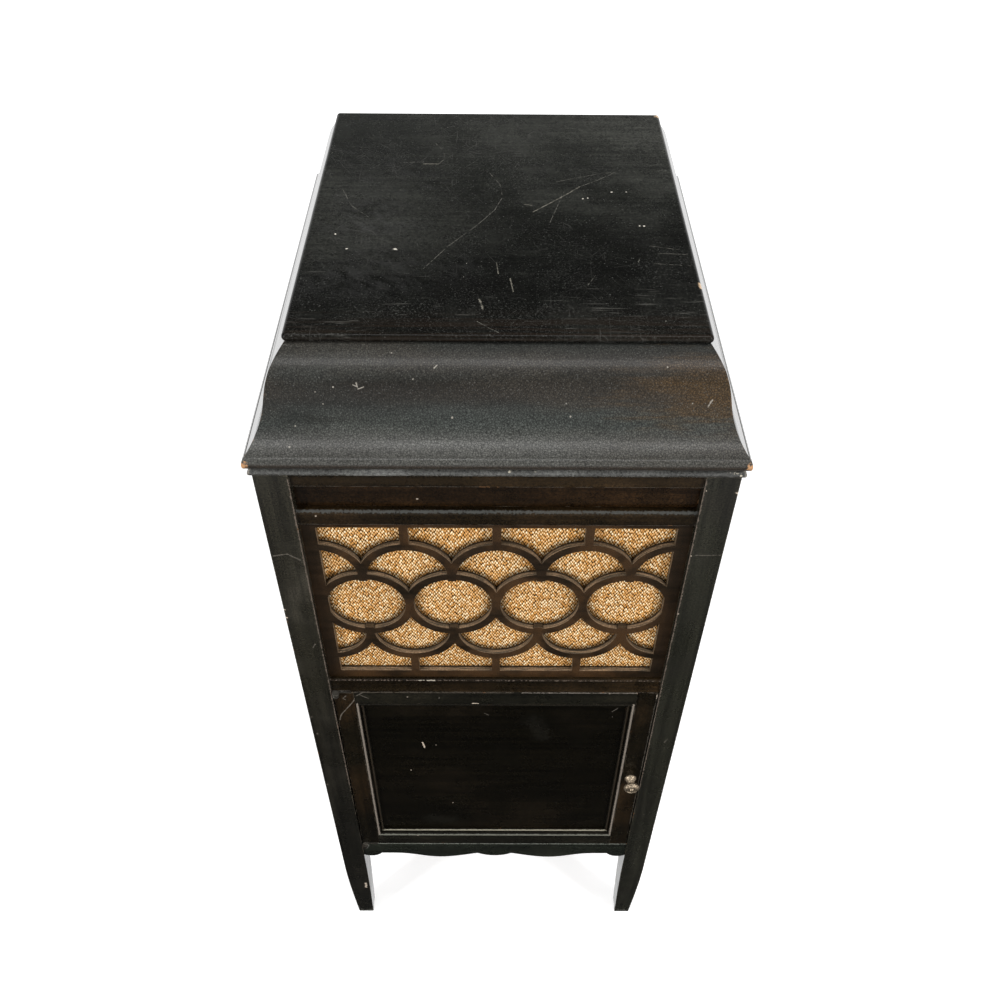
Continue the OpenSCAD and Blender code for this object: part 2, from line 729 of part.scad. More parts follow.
// One length along X, w wide between mitres, its outer edge at z = 0
module mould_length(w) {
    g = mitre_gap / 2;
    m = mould_w + cut;
    intersection() {
        along_x(-w / 2, w / 2) translate([rail_y + panel_set, 0]) rotate([0, 0, 90])
            mould_profile();
        along_y(rail_y - 2, rail_y + panel_set)
            polygon([[-w / 2 + g, 0], [w / 2 - g, 0], [w / 2 - m - g, m], [-w / 2 + m + g, m]]);
    }
}
module door_moulding() color("#2b261e") {
    w = 2 * field_x;
    h = field_z1 - field_z0;
    zc = (field_z0 + field_z1) / 2;
    translate([0, 0, field_z0]) mould_length(w);
    translate([0, 0, field_z1]) rotate([0, 180, 0]) mould_length(w);
    translate([-field_x, 0, zc]) rotate([0, 90, 0]) mould_length(h);
    translate([field_x, 0, zc]) rotate([0, 270, 0]) mould_length(h);
}
knob_out = 17.5;
// A turned knob: a flared foot, a neck and a flat round head with a sunk face
module door_knob() color("#8f7550") {
    r = knob_d / 2;
    translate([door_x - stile_w / 2 - 0.5, rail_y, door_z0 + knob_z]) rotate([90, 0, 0])
        rotate_extrude() polygon([[0, 0], [7.6, 0], [7.6, 1], [6.6, 2.2], [5.2, 4.2], [4.5, 6.5],
            [4.5, 8.6], [5.6, 9.6], [r - 1.2, 10.8], [r, 12.6], [r, 14], [r - 1.4, 16],
            [r - 3.4, 17.1], [r - 4.2, 16.4], [3, 16], [1.6, knob_out], [0, knob_out]]);
}

// ---- Door hinges: pivots let into the door's corners, knuckles proud of its face ----
hinge_leaf_t = 2;
hinge_leaf_l = stile_w - 2;
hinge_leaf_w = 13;
pivot_x = -door_x + knuckle_r;
pivot_y = rail_y - knuckle_r - seat_gap;
pivot_r = 1.5;
knuckle_h = 3.4;
module hinge_leaf(z) {
    slab(-door_x, -door_x + hinge_leaf_l, rail_y, rail_y + hinge_leaf_w, z, z + hinge_leaf_t);
}
// The pocket for a leaf whose lower face is at z, open to the front
module hinge_leaf_space(z) {
    slab(-door_x, -door_x + hinge_leaf_l, rail_y - cut, rail_y + hinge_leaf_w, z,
        z + hinge_leaf_t);
}
// A round knuckle and the neck that joins it to its leaf
module pivot_knuckle(z0, z1, leaf_z) {
    rod_z(knuckle_r, z0, z1, pivot_x, pivot_y);
    slab(pivot_x - 1, pivot_x + knuckle_r, pivot_y, rail_y, leaf_z, leaf_z + hinge_leaf_t);
    hinge_leaf(leaf_z);
}
knuckle_top = z_mid - door_gap / 2;
knuckle_low = z_door + door_gap / 2;
pivot_half = 0.15;
module door_hinge_case_leaves() color("#8f7a52") {
    pivot_knuckle(knuckle_top + pivot_half, knuckle_top + knuckle_h, z_mid);
    rod_z(pivot_r, knuckle_top - knuckle_h + cut, knuckle_top + cut, pivot_x, pivot_y);
    pivot_knuckle(knuckle_low - knuckle_h, knuckle_low - pivot_half, z_door - hinge_leaf_t);
    rod_z(pivot_r, knuckle_low - cut, knuckle_low + knuckle_h - cut, pivot_x, pivot_y);
}
module door_hinge_door_leaves() color("#8f7a52") difference() {
    union() {
        pivot_knuckle(knuckle_top - knuckle_h, knuckle_top - pivot_half, door_z1 - hinge_leaf_t);
        pivot_knuckle(knuckle_low + pivot_half, knuckle_low + knuckle_h, door_z0);
    }
    rod_z(pivot_r + run_gap, z_door, z_mid, pivot_x, pivot_y);
}
catch_x = 130;
// A bent spring strip under the ceiling that the door's top rail closes against
module door_catch() color("#8a7a50") {
    y = door_back + 0.3;
    slab(catch_x, catch_x + 20, y, y + 1.2, z_mid - 14, ceiling_z);
    slab(catch_x, catch_x + 20, y + 1.2, y + 24, ceiling_z - 1.2, ceiling_z);
}

// ---- Spring motor ----
plate_t = 7;
base_t = 6;
motor_depth = 99;
plate_z = board_low - plate_t;
base_z = board_low - motor_depth;
base_top = base_z + base_t;
shaft_end = 1;
spindle_r = 5;
spindle = [spindle_x, spindle_y];
function polar(r, a) = [r * cos(a), r * sin(a)];
// Pitch radius of a wheel with n teeth
function pitch(n) = gear_m * n / 2;
middle_dir = -60;
barrel_dir = 50;
middle_c = spindle + polar(pitch(pinion_n) + pitch(middle_n), middle_dir);
barrel_c = middle_c + polar(pitch(pinion_n) + pitch(barrel_n), barrel_dir);
// A spur wheel with straight sided teeth, a tooth centred at angle `phase`
module spur(n, h, phase) {
    p = 360 / n;
    tip = pitch(n) + 0.8 * gear_m;
    root = pitch(n) - 1.2 * gear_m;
    rotate([0, 0, phase]) linear_extrude(h) polygon([for (i = [0 : n - 1])
        for (q = [[root, -0.30], [tip, -0.11], [tip, 0.11], [root, 0.30]])
            polar(q[0], p * (i + q[1]))]);
}
arbor_r = 6;
middle_r = 3;
pinion_h = 8;
wheel_t = 6;
winder_r = 8;
crown_r = 40;
crown_t = 4;
crown_z = base_top + 1.7;
crank_z = crown_z + crown_t + 0.3 + winder_r;
barrel_z = crank_z + winder_r + 4;
barrel_top = barrel_z + barrel_h;
barrel_wheel_z = barrel_top + 2;
middle_wheel_z = barrel_wheel_z + wheel_t + 5;
worm_wheel_r = 20;
worm_wheel_z = base_top + 9;
worm_r = 5;
gov_x = spindle_x - worm_wheel_r - worm_r - 0.3;
gov_z = worm_wheel_z + 3;
gov_r = 2;
gov_l = 88;
gov_front = 18;
spring_at = [46, 74];
gov_disc_r = 14;
gov_y0 = spindle_y - gov_front;
gov_y1 = gov_y0 + gov_l;
collar_y0 = gov_y0 + spring_at[0];
collar_y1 = gov_y0 + spring_at[1];
weight_out = 12;
weight_r = 5;
lug_t = 4;
// Left, right, front and back edges of the motor's top plate and of its base
motor_right = 102;
plate_out = [50, 72, 82];
base_out = [12, 46, 62];
motor_x1 = spindle_x + motor_right;
function motor_edge(out) =
    [spindle_x - out[0], motor_x1, spindle_y - out[1], spindle_y + out[2]];
plate_edge = motor_edge(plate_out);
base_edge = motor_edge(base_out);
lug_x = motor_x1 - 7.5;
lug_half = 10;
pillar_r = 4;
pillar_in = pillar_r + 3;
pillar_at = [[base_edge[0] + 12, base_edge[3] - pillar_in - 1],
    [motor_x1 - pillar_in, base_edge[3] - pillar_in],
    [motor_x1 - pillar_in, base_edge[2] + pillar_in + 2]];
module plate(edge, z0, z1) {
    slab(edge[0], edge[1], edge[2], edge[3], z0, z1);
}
module bore_z(r, x, y) {
    rod_z(r + run_gap, base_z - cut, board_low + cut, x, y);
}
module motor_frame() color("#3b3a36") difference() {
    union() {
        plate(plate_edge, plate_z, board_low);
        plate(base_edge, base_z, base_top);
        for (p = pillar_at) rod_z(pillar_r, base_top, plate_z, p[0], p[1]);
        for (y = [gov_y0 - lug_t, gov_y1]) slab(gov_x - 5, gov_x + 5, y, y + lug_t, gov_z - 5, plate_z);
        slab(lug_x, motor_x1, barrel_c[1] - lug_half, barrel_c[1] + lug_half, base_top,
            crank_z + lug_half);
    }
    bore_z(spindle_r, spindle_x, spindle_y);
    bore_z(middle_r, middle_c[0], middle_c[1]);
    bore_z(arbor_r, barrel_c[0], barrel_c[1]);
    rod_y(gov_r + run_gap, gov_y0 - lug_t - cut, gov_y1 + lug_t + cut, gov_x, gov_z);
    rod_x(rod_r + run_gap, lug_x - cut, motor_x1 + cut, barrel_c[1], crank_z);
}
barrel_wall = 2;
module spring_barrel() color("#6f6a5e") translate([barrel_c[0], barrel_c[1], 0]) difference() {
    union() {
        rod_z(barrel_r, barrel_z, barrel_top, 0, 0);
        rod_z(barrel_r - 4, barrel_top, barrel_wheel_z, 0, 0);
        translate([0, 0, barrel_wheel_z]) spur(barrel_n, wheel_t, barrel_dir + 180 + 180 / barrel_n);
    }
    rod_z(barrel_r - barrel_wall, barrel_z + barrel_wall, barrel_top - barrel_wall, 0, 0);
    rod_z(arbor_r + run_gap, barrel_z - cut, middle_wheel_z, 0, 0);
}
// A flat strip wound from the arbor out to the wall of the barrel
spring_turns = 6;
spring_steps = 24;
spring_strip = 1.4;
module mainspring() color("#59616b") {
    r0 = arbor_r + 4;
    r1 = barrel_r - barrel_wall - spring_strip - 0.4;
    n = spring_turns * spring_steps;
    inner = [for (i = [0 : n]) polar(r0 + (r1 - r0) * i / n, 360 * i / spring_steps)];
    outer = [for (i = [n : -1 : 0])
        polar(r0 + (r1 - r0) * i / n + spring_strip, 360 * i / spring_steps)];
    translate([barrel_c[0], barrel_c[1], barrel_z + barrel_wall])
        linear_extrude(barrel_h - 2 * barrel_wall - 0.5) polygon(concat(inner, outer));
}
// The arbor that the crank winds, with its crown wheel under the crank's pinion
module winding_arbor() color("#6b675c") {
    rod_z(arbor_r, base_z + shaft_end, board_low - shaft_end, barrel_c[0], barrel_c[1]);
    rod_z(crown_r, crown_z, crown_z + crown_t, barrel_c[0], barrel_c[1]);
}
module intermediate_gear() color("#a58746") translate([middle_c[0], middle_c[1], 0]) {
    rod_z(middle_r, base_z + shaft_end, board_low - shaft_end, 0, 0);
    translate([0, 0, barrel_wheel_z - 1]) spur(pinion_n, pinion_h, barrel_dir);
    translate([0, 0, middle_wheel_z])
        spur(middle_n, wheel_t, middle_dir + 180 + 180 / middle_n);
}
spring_n = 3;
// Shaft with a worm, two collars, a brake disc and weights on three bowed springs
module governor() color("#9c8a5a") translate([gov_x, 0, gov_z]) {
    c0 = collar_y0;
    c1 = collar_y1;
    mid = (c0 + c1) / 2;
    w = weight_out;
    rod_y(gov_r, gov_y0 - lug_t + shaft_end, gov_y1 + lug_t - shaft_end, 0, 0);
    rod_y(worm_r, spindle_y - 9, spindle_y + 9, 0, 0);
    rod_y(5, c0 - 4, c0, 0, 0);
    rod_y(5, c1, c1 + 4, 0, 0);
    rod_y(gov_disc_r, c1 + 4, c1 + 6, 0, 0);
    for (i = [0 : spring_n - 1]) rotate([0, i * 360 / spring_n, 0]) {
        translate([-2, 0, 0]) along_x(0, 4) polygon([[c0 - 4, 4], [c0, 4.6], [mid, w - 1],
            [c1, 4.6], [c1 + 4, 4], [c1 + 4, 5], [c1, 5.6], [mid, w], [c0, 5.6], [c0 - 4, 5]]);
        translate([0, mid, w]) sphere(weight_r);
    }
}
table_z = board_z + 4;
table_top = table_z + table_h;
felt_z = table_top;
module turntable_spindle() color("#a8a49a") translate([spindle_x, spindle_y, 0]) {
    rod_z(spindle_r, base_z + shaft_end, felt_z + felt_t, 0, 0);
    rod_z(worm_wheel_r, worm_wheel_z, worm_wheel_z + 6, 0, 0);
    rod_z(9, table_z, table_z + 3, 0, 0);
    translate([0, 0, middle_wheel_z]) spur(pinion_n, wheel_t, middle_dir);
    rod_z(pin_r, felt_z + felt_t, felt_z + felt_t + pin_h - pin_r, 0, 0);
    translate([0, 0, felt_z + felt_t + pin_h - pin_r]) sphere(pin_r);
}
table_wall = 3;
hub_r = 14;
// A pressed dish: flat top, deep rim, and a hub that sits on the spindle's collar
module turntable() color("#7c7a74") translate([spindle_x, spindle_y, 0]) rotate_extrude($fn = 128) {
    r = table_d / 2;
    polygon([[spindle_r, table_top], [r - 2, table_top], [r, table_top - 2], [r, table_z],
        [r - table_wall, table_z], [r - table_wall, table_top - table_wall],
        [hub_r, table_top - table_wall], [hub_r, table_z + 3], [spindle_r, table_z + 3]]);
}
felt_edge = 3;
module turntable_felt() color("#2f4a35") translate([spindle_x, spindle_y, felt_z]) difference() {
    cylinder(r = table_d / 2 - felt_edge, h = felt_t, $fn = 128);
    translate([0, 0, -cut]) cylinder(r = spindle_r + 1, h = felt_t + 2 * cut);
}

// ---- Crank ----
crank_x = side_out + crank_out;
pinion_x0 = barrel_c[0] + 29;
grip_x0 = crank_x + rod_r + 3;
grip_pin_r = 3.5;
pin_head = 3;
// The crank's own frame: its axis along X, its arm along +Y
module at_crank() {
    translate([0, barrel_c[1], crank_z]) rotate([-crank_rest, 0, 0]) children();
}
// The winding shaft with its pinion, bent into an arm and a pin for the grip
module crank() color("#77736a") at_crank() {
    rod_x(rod_r, pinion_x0, crank_x, 0, 0);
    rod_x(winder_r, pinion_x0, pinion_x0 + 9, 0, 0);
    translate([crank_x, 0, 0]) sphere(rod_r);
    rod_y(rod_r, 0, crank_l, crank_x, 0);
    translate([crank_x, crank_l, 0]) sphere(rod_r);
    rod_x(rod_r, crank_x, grip_x0 - 0.5, crank_l, 0);
    rod_x(grip_pin_r, crank_x, grip_x0 + grip_l + pin_head, crank_l, 0);
    rod_x(6, grip_x0 + grip_l + 0.5, grip_x0 + grip_l + pin_head, crank_l, 0);
}
module crank_grip() color("#241c15") at_crank() translate([grip_x0, crank_l, 0])
    rotate([0, 90, 0]) rotate_extrude() polygon([[grip_pin_r + run_gap, 0], [grip_r - 3, 0],
        [grip_r - 1.5, 4], [grip_r - 2.5, grip_l * 0.2], [grip_r, grip_l * 0.55],
        [grip_r - 1, grip_l * 0.85], [grip_r - 4, grip_l], [grip_pin_r + run_gap, grip_l]]);
module crank_escutcheon() color("#8f7550") difference() {
    union() {
        rod_x(17, side_out, side_out + 2, barrel_c[1], crank_z);
        rod_x(10, side_out, side_out + 6, barrel_c[1], crank_z);
        rod_x(crank_hole_r, side_in, side_out, barrel_c[1], crank_z);
    }
    rod_x(rod_r + run_gap, side_in - cut, side_out + 7, barrel_c[1], crank_z);
}

// ---- Tone arm ----
base_neck_h = 20;
arm_foot = 6;
module tonearm_base() color("#8d8b84") translate([arm_x, arm_y, 0]) difference() {
    union() {
        rod_z(arm_hole_r, board_low, board_z, 0, 0);
        rod_z(arm_hole_r + 5, board_z, board_z + 4, 0, 0);
        rod_z(arm_r + 4, board_z, board_z + base_neck_h, 0, 0);
    }
    rod_z(arm_r + run_gap, board_z + arm_foot, board_z + base_neck_h + cut, 0, 0);
    rod_z(arm_r - 2, board_low - cut, board_z + arm_foot + cut, 0, 0);
}
arm_line = board_z + arm_z;
arm_bend = 26;
neck_bend = 12;
neck_r = 8;
neck_l = 10;
// The tube at radii that shrink by `wall`: up, forwards in a taper, then round to the left
module arm_tube(wall) {
    z0 = board_z + arm_foot + 0.4 - (wall > 0 ? cut : 0);
    rod_z(arm_r - wall, z0, arm_line - arm_bend, 0, 0);
    translate([0, -arm_bend, arm_line - arm_bend]) rotate([90, 0, 90])
        rotate_extrude(angle = 90) translate([arm_bend, 0]) circle(arm_r - wall);
    translate([0, -arm_bend, arm_line]) rotate([90, 0, 0])
        cylinder(r1 = arm_r - wall, r2 = neck_r - wall, h = arm_l - arm_bend);
    translate([-neck_bend, -arm_l, arm_line]) rotate([0, 0, -90])
        rotate_extrude(angle = 90) translate([neck_bend, 0]) circle(neck_r - wall);
    rod_x(neck_r - wall, -neck_bend - neck_l - (wall > 0 ? cut : 0), -neck_bend,
        -arm_l - neck_bend, arm_line);
}
module at_arm() {
    translate([arm_x, arm_y, 0]) rotate([0, 0, arm_park]) children();
}
module tonearm() color("#a3a19a") at_arm() difference() {
    arm_tube(0);
    arm_tube(2);
}
box_x = -neck_bend - neck_l - 1;
box_y = -arm_l - neck_bend;
needle_r = 0.8;
needle_l = 20;
needle_lean = 25;
needle_gap = 2.5;
chuck_drop = box_r - 4;
// Length of needle under the chuck that brings its tip to the height of a record
needle_out = (arm_line - chuck_drop - felt_z - felt_t - needle_gap) / cos(needle_lean);
// A disc on the arm's neck with a stylus bar in front and a needle in its chuck
module soundbox() color("#b0aea6") at_arm() {
    difference() {
        union() {
            rod_x(11, box_x - 2, box_x + 7, box_y, arm_line);
            rod_x(box_r, box_x - box_t, box_x - 2, box_y, arm_line);
        }
        rod_x(neck_r + run_gap, box_x + 0.4, box_x + 8, box_y, arm_line);
        rod_x(neck_r - 2, box_x - 5, box_x + 8, box_y, arm_line);
        rod_x(box_r - 4, box_x - box_t - cut, box_x - box_t + 2.5, box_y, arm_line);
    }
    slab(box_x - box_t - 0.5, box_x - box_t + 2.5, box_y - 1.5, box_y + 1.5,
        arm_line - chuck_drop, arm_line);
    translate([box_x - box_t + 1, box_y, arm_line - chuck_drop]) rotate([-needle_lean, 0, 0])
        mirror([0, 0, 1]) {
            translate([0, 0, -5]) cylinder(r = 3, h = 12);
            cylinder(r = needle_r, h = needle_out - 2);
            translate([0, 0, needle_out - 2]) cylinder(r1 = needle_r, r2 = 0.15, h = 2);
        }
    rod_x(2, box_x - box_t - 9, box_x - box_t, box_y - 1, arm_line - chuck_drop - 3);
    rod_x(3.6, box_x - box_t - 11, box_x - box_t - 8, box_y - 1, arm_line - chuck_drop - 3);
}

// ---- Brake and speed levers ----
screw_r = 2;
screw_l = 9;
lever_z = board_z + 9;
lever_t = 3;
brake_dir = 225;
brake_back = 38;
brake_off = 10;
brake_gap = 0.3;
brake_at = spindle + polar(table_d / 2 + brake_off, brake_dir) + polar(brake_back, brake_dir - 90);
speed_from_side = 100;
speed_at = [side_in - speed_from_side, rail_back + 25];
// A flat lever swinging on a pivot screw, with a pad that rests by the turntable's rim
module brake_lever() color("#8a7a50") difference() {
    translate([brake_at[0], brake_at[1], 0]) rotate([0, 0, brake_dir + 90]) {
        rod_z(6, lever_z - 2, lever_z + lever_t, 0, 0);
        slab(0, 68, -3, 3, lever_z, lever_z + lever_t);
        slab(brake_back - 6, brake_back + 6, 3, brake_off - brake_gap, lever_z - 4,
            lever_z + lever_t + 2);
        rod_z(5, lever_z, lever_z + 7, 68, 0);
    }
    rod_z(screw_r + run_gap, board_z, lever_z + 10, brake_at[0], brake_at[1]);
}
module speed_lever() color("#8a7a50") difference() {
    translate([speed_at[0], speed_at[1], 0]) {
        rod_z(6, lever_z - 2, lever_z + lever_t, 0, 0);
        slab(-3, 3, 0, 22, lever_z, lever_z + lever_t);
        rod_z(4, lever_z, lever_z + 8, 0, 22);
    }
    rod_z(screw_r + run_gap, board_z, lever_z + 10, speed_at[0], speed_at[1]);
}
// Shouldered screws: one under each lever, its head over the lever's hub
module lever_pivots() color("#9a978c") {
    for (p = [brake_at, speed_at]) {
        rod_z(screw_r, board_z - screw_l, lever_z + lever_t + 2.3, p[0], p[1]);
        rod_z(5, board_z, lever_z - 2.3, p[0], p[1]);
        rod_z(5, lever_z + lever_t + 0.3, lever_z + lever_t + 2.3, p[0], p[1]);
    }
}

post_front_left();
post_front_right();
post_rear_left();
post_rear_right();
side_panel_left();
side_panel_right();
back_panel();
cap_moulding();
top_rail();
frieze_board();
bead_rail();
fret_panel();
grille_cloth();
middle_rail();
apron();
cupboard_floor();
cupboard_ceiling();
record_dividers();
motor_board();
board_cleats();
horn_top();
horn_bottom();
horn_cheeks();
horn_elbow();
needle_cups();
lid_top();
lid_front();
lid_left();
lid_right();
lid_back();
lid_hinge_case_leaves();
lid_hinge_lid_leaves();
lid_stay();
stay_guide();
door_stiles();
door_rails();
door_panel();
door_moulding();
door_knob();
door_hinge_case_leaves();
door_hinge_door_leaves();
door_catch();
motor_frame();
spring_barrel();
mainspring();
winding_arbor();
intermediate_gear();
governor();
turntable_spindle();
turntable();
turntable_felt();
crank();
crank_grip();
crank_escutcheon();
tonearm_base();
tonearm();
soundbox();
brake_lever();
speed_lever();
lever_pivots();
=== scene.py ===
"""Looks of an upright cabinet gramophone with its lid closed, on a pale floor."""
import math

import bpy
import numpy as np
from mathutils import Matrix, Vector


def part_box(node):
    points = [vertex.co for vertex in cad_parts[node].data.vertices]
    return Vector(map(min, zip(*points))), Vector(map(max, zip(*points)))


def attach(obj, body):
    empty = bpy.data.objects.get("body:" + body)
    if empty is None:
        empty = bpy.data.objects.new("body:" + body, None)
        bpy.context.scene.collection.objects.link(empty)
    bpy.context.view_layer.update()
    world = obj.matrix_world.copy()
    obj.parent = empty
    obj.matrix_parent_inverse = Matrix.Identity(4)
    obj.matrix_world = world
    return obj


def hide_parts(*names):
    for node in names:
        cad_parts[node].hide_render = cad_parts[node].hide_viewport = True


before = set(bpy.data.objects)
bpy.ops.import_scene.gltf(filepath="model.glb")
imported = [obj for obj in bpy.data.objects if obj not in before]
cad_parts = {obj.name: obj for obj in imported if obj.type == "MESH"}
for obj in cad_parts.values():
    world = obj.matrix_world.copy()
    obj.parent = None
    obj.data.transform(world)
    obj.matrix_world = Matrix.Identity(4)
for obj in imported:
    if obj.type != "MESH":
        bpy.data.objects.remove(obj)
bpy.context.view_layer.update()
mm = 0.001

TOP = 1.0533                # height of the lid's flat top
OGEE_RUN = 79 * mm          # the lid's moulding, out from the edge of the flat top
BOARD = 8.5 * mm            # thickness of the lid's top board, which stands on the moulding
RING = 44 * mm              # middle line of the fret's rings, and half their pitch
RING_HEIGHT = 765 * mm      # height of the rings' centres
GRAIN = {"x": (4, 130, 130), "y": (130, 4, 130), "z": (130, 130, 4)}    # noise scale by axis
PALE, RAW = (0.20, 0.175, 0.145), (0.60, 0.50, 0.40)    # a rubbed line, and bare wood


# ---------------- camera and light
def put(name, data, right, up, ahead, at):
    """An object at a point that looks ahead, with its own right and up: the columns of its
    matrix are right, up, minus ahead, and the point."""
    placed = bpy.data.objects.new(name, data)
    bpy.context.scene.collection.objects.link(placed)
    placed.matrix_world = Matrix((*zip(right, up, -ahead, at), (0, 0, 0, 1)))
    return placed


def place_camera():
    """Camera at the photograph's station: a level view to the back, pitched down, turned about
    the vertical, and rolled about its own direction."""
    pitch, turn, roll = np.radians([45.653, -0.485, 0.601])
    station = (-0.0027, -0.8753, 1.5656)
    ahead = np.array([0, math.cos(pitch), -math.sin(pitch)])
    up = np.array([0, math.sin(pitch), math.cos(pitch)])
    right = np.array([1.0, 0, 0])
    c, s = math.cos(turn), math.sin(turn)
    about_z = np.array([[c, -s, 0], [s, c, 0], [0, 0, 1]])
    ahead, up, right = about_z @ ahead, about_z @ up, about_z @ right
    c, s = math.cos(roll), math.sin(roll)
    right, up = c * right + s * up, c * up - s * right
    data = bpy.data.cameras.new("camera")
    data.sensor_width = 36
    data.lens = 35.863
    bpy.context.scene.camera = put("camera", data, right, up, ahead, station)


def soft_lamp(name, at, aim, width, height, power):
    """Oblong white area lamp that faces a point, its width level."""
    data = bpy.data.lights.new(name, "AREA")
    data.shape = "RECTANGLE"
    data.size = width
    data.size_y = height
    data.energy = power
    ahead = np.subtract(aim, at).astype(float)
    ahead /= np.linalg.norm(ahead)
    right = np.cross(ahead, (0, 0, 1.0))
    right /= np.linalg.norm(right)
    put(name, data, right, np.cross(right, ahead), ahead, at)


# ---------------- material building blocks
class Nodes:
    """A node tree under construction: each method adds nodes and returns an output socket.
    The place is one of Texture Coordinate's outputs."""

    def __init__(self, tree, place):
        self.nodes, self.links = tree.nodes, tree.links
        self.place = self.add("ShaderNodeTexCoord", out=place)

    def feed(self, socket, value):
        """Links a socket to an output, or sets its own number or colour."""
        if isinstance(value, bpy.types.NodeSocket):
            self.links.new(value, socket)
        elif isinstance(value, (tuple, list)) and len(value) == 3 and socket.type == "RGBA":
            socket.default_value = (*value, 1)
        else:
            socket.default_value = value

    def add(self, kind, out=0, sockets=None, **settings):
        """A node of a kind, with its settings and what its sockets are fed."""
        node = self.nodes.new(kind)
        for key, value in settings.items():
            setattr(node, key, value)
        for key, value in (sockets or {}).items():
            self.feed(node.inputs[key], value)
        return node.outputs[out]

    def math(self, operation, a, b=0.0, clamp=False):
        """One step of Math, held between 0 and 1 where clamp says so."""
        return self.add("ShaderNodeMath", sockets={0: a, 1: b}, operation=operation,
                        use_clamp=clamp)

    def product(self, *factors):
        """Numbers and sockets multiplied together, from the left."""
        total = factors[0]
        for factor in factors[1:]:
            total = self.math("MULTIPLY", total, factor)
        return total

    def apart(self, value, level):
        """How far a value lies from a level, above or below it."""
        return self.math("ABSOLUTE", self.math("SUBTRACT", value, level))

    def vector(self, operation, a, b=(0, 0, 0), out=0, **sockets):
        """One step of Vector Math."""
        return self.add("ShaderNodeVectorMath", out=out, operation=operation,
                        sockets={0: a, 1: b, **sockets})

    def axis(self, name, vector=None):
        """One coordinate of the place, or of another vector."""
        return self.add("ShaderNodeSeparateXYZ", out=name, sockets={0: vector or self.place})

    def stretch(self, scale=(1, 1, 1), turn=(0, 0, 0), shift=(0, 0, 0)):
        """The place after a turn in degrees and a shift, with each axis multiplied."""
        turned = self.add("ShaderNodeMapping", sockets={
            "Vector": self.place, "Rotation": tuple(math.radians(t) for t in turn),
            "Location": shift})
        return self.vector("MULTIPLY", turned, scale)

    def noise(self, vector, scale=1.0, detail=3.0, rough=0.5, bend=0.0, out="Fac"):
        """Clouds about 1 / scale across, with finer ones laid over them."""
        return self.add("ShaderNodeTexNoise", out=out, sockets={
            "Vector": vector, "Scale": scale, "Detail": detail, "Roughness": rough,
            "Distortion": bend})

    def cells(self, vector, scale, jitter=1.0, feature="F1"):
        """Distance to the nearest of many scattered points, or to the line between two."""
        return self.add("ShaderNodeTexVoronoi", out="Distance", feature=feature, sockets={
            "Vector": vector, "Scale": scale, "Randomness": jitter})

    def band(self, value, low, high, from_=0.0, to=1.0, smooth=True):
        """Value carried from low..high to from_..to, held at the ends."""
        return self.add("ShaderNodeMapRange", sockets={
            "Value": value, "From Min": low, "From Max": high, "To Min": from_, "To Max": to},
            interpolation_type="SMOOTHSTEP" if smooth else "LINEAR")

    def mix(self, amount, a, b, blend="MIX"):
        """Colour a carried towards b by an amount."""
        node = self.nodes.new("ShaderNodeMix")
        node.data_type = "RGBA"
        node.blend_type = blend
        self.feed(node.inputs[0], amount)
        self.feed(node.inputs[6], a)
        self.feed(node.inputs[7], b)
        return node.outputs[2]

    def times(self, tone, amount):
        """A tone made lighter or darker by a number or a socket."""
        return self.mix(1.0, tone, amount, "MULTIPLY")


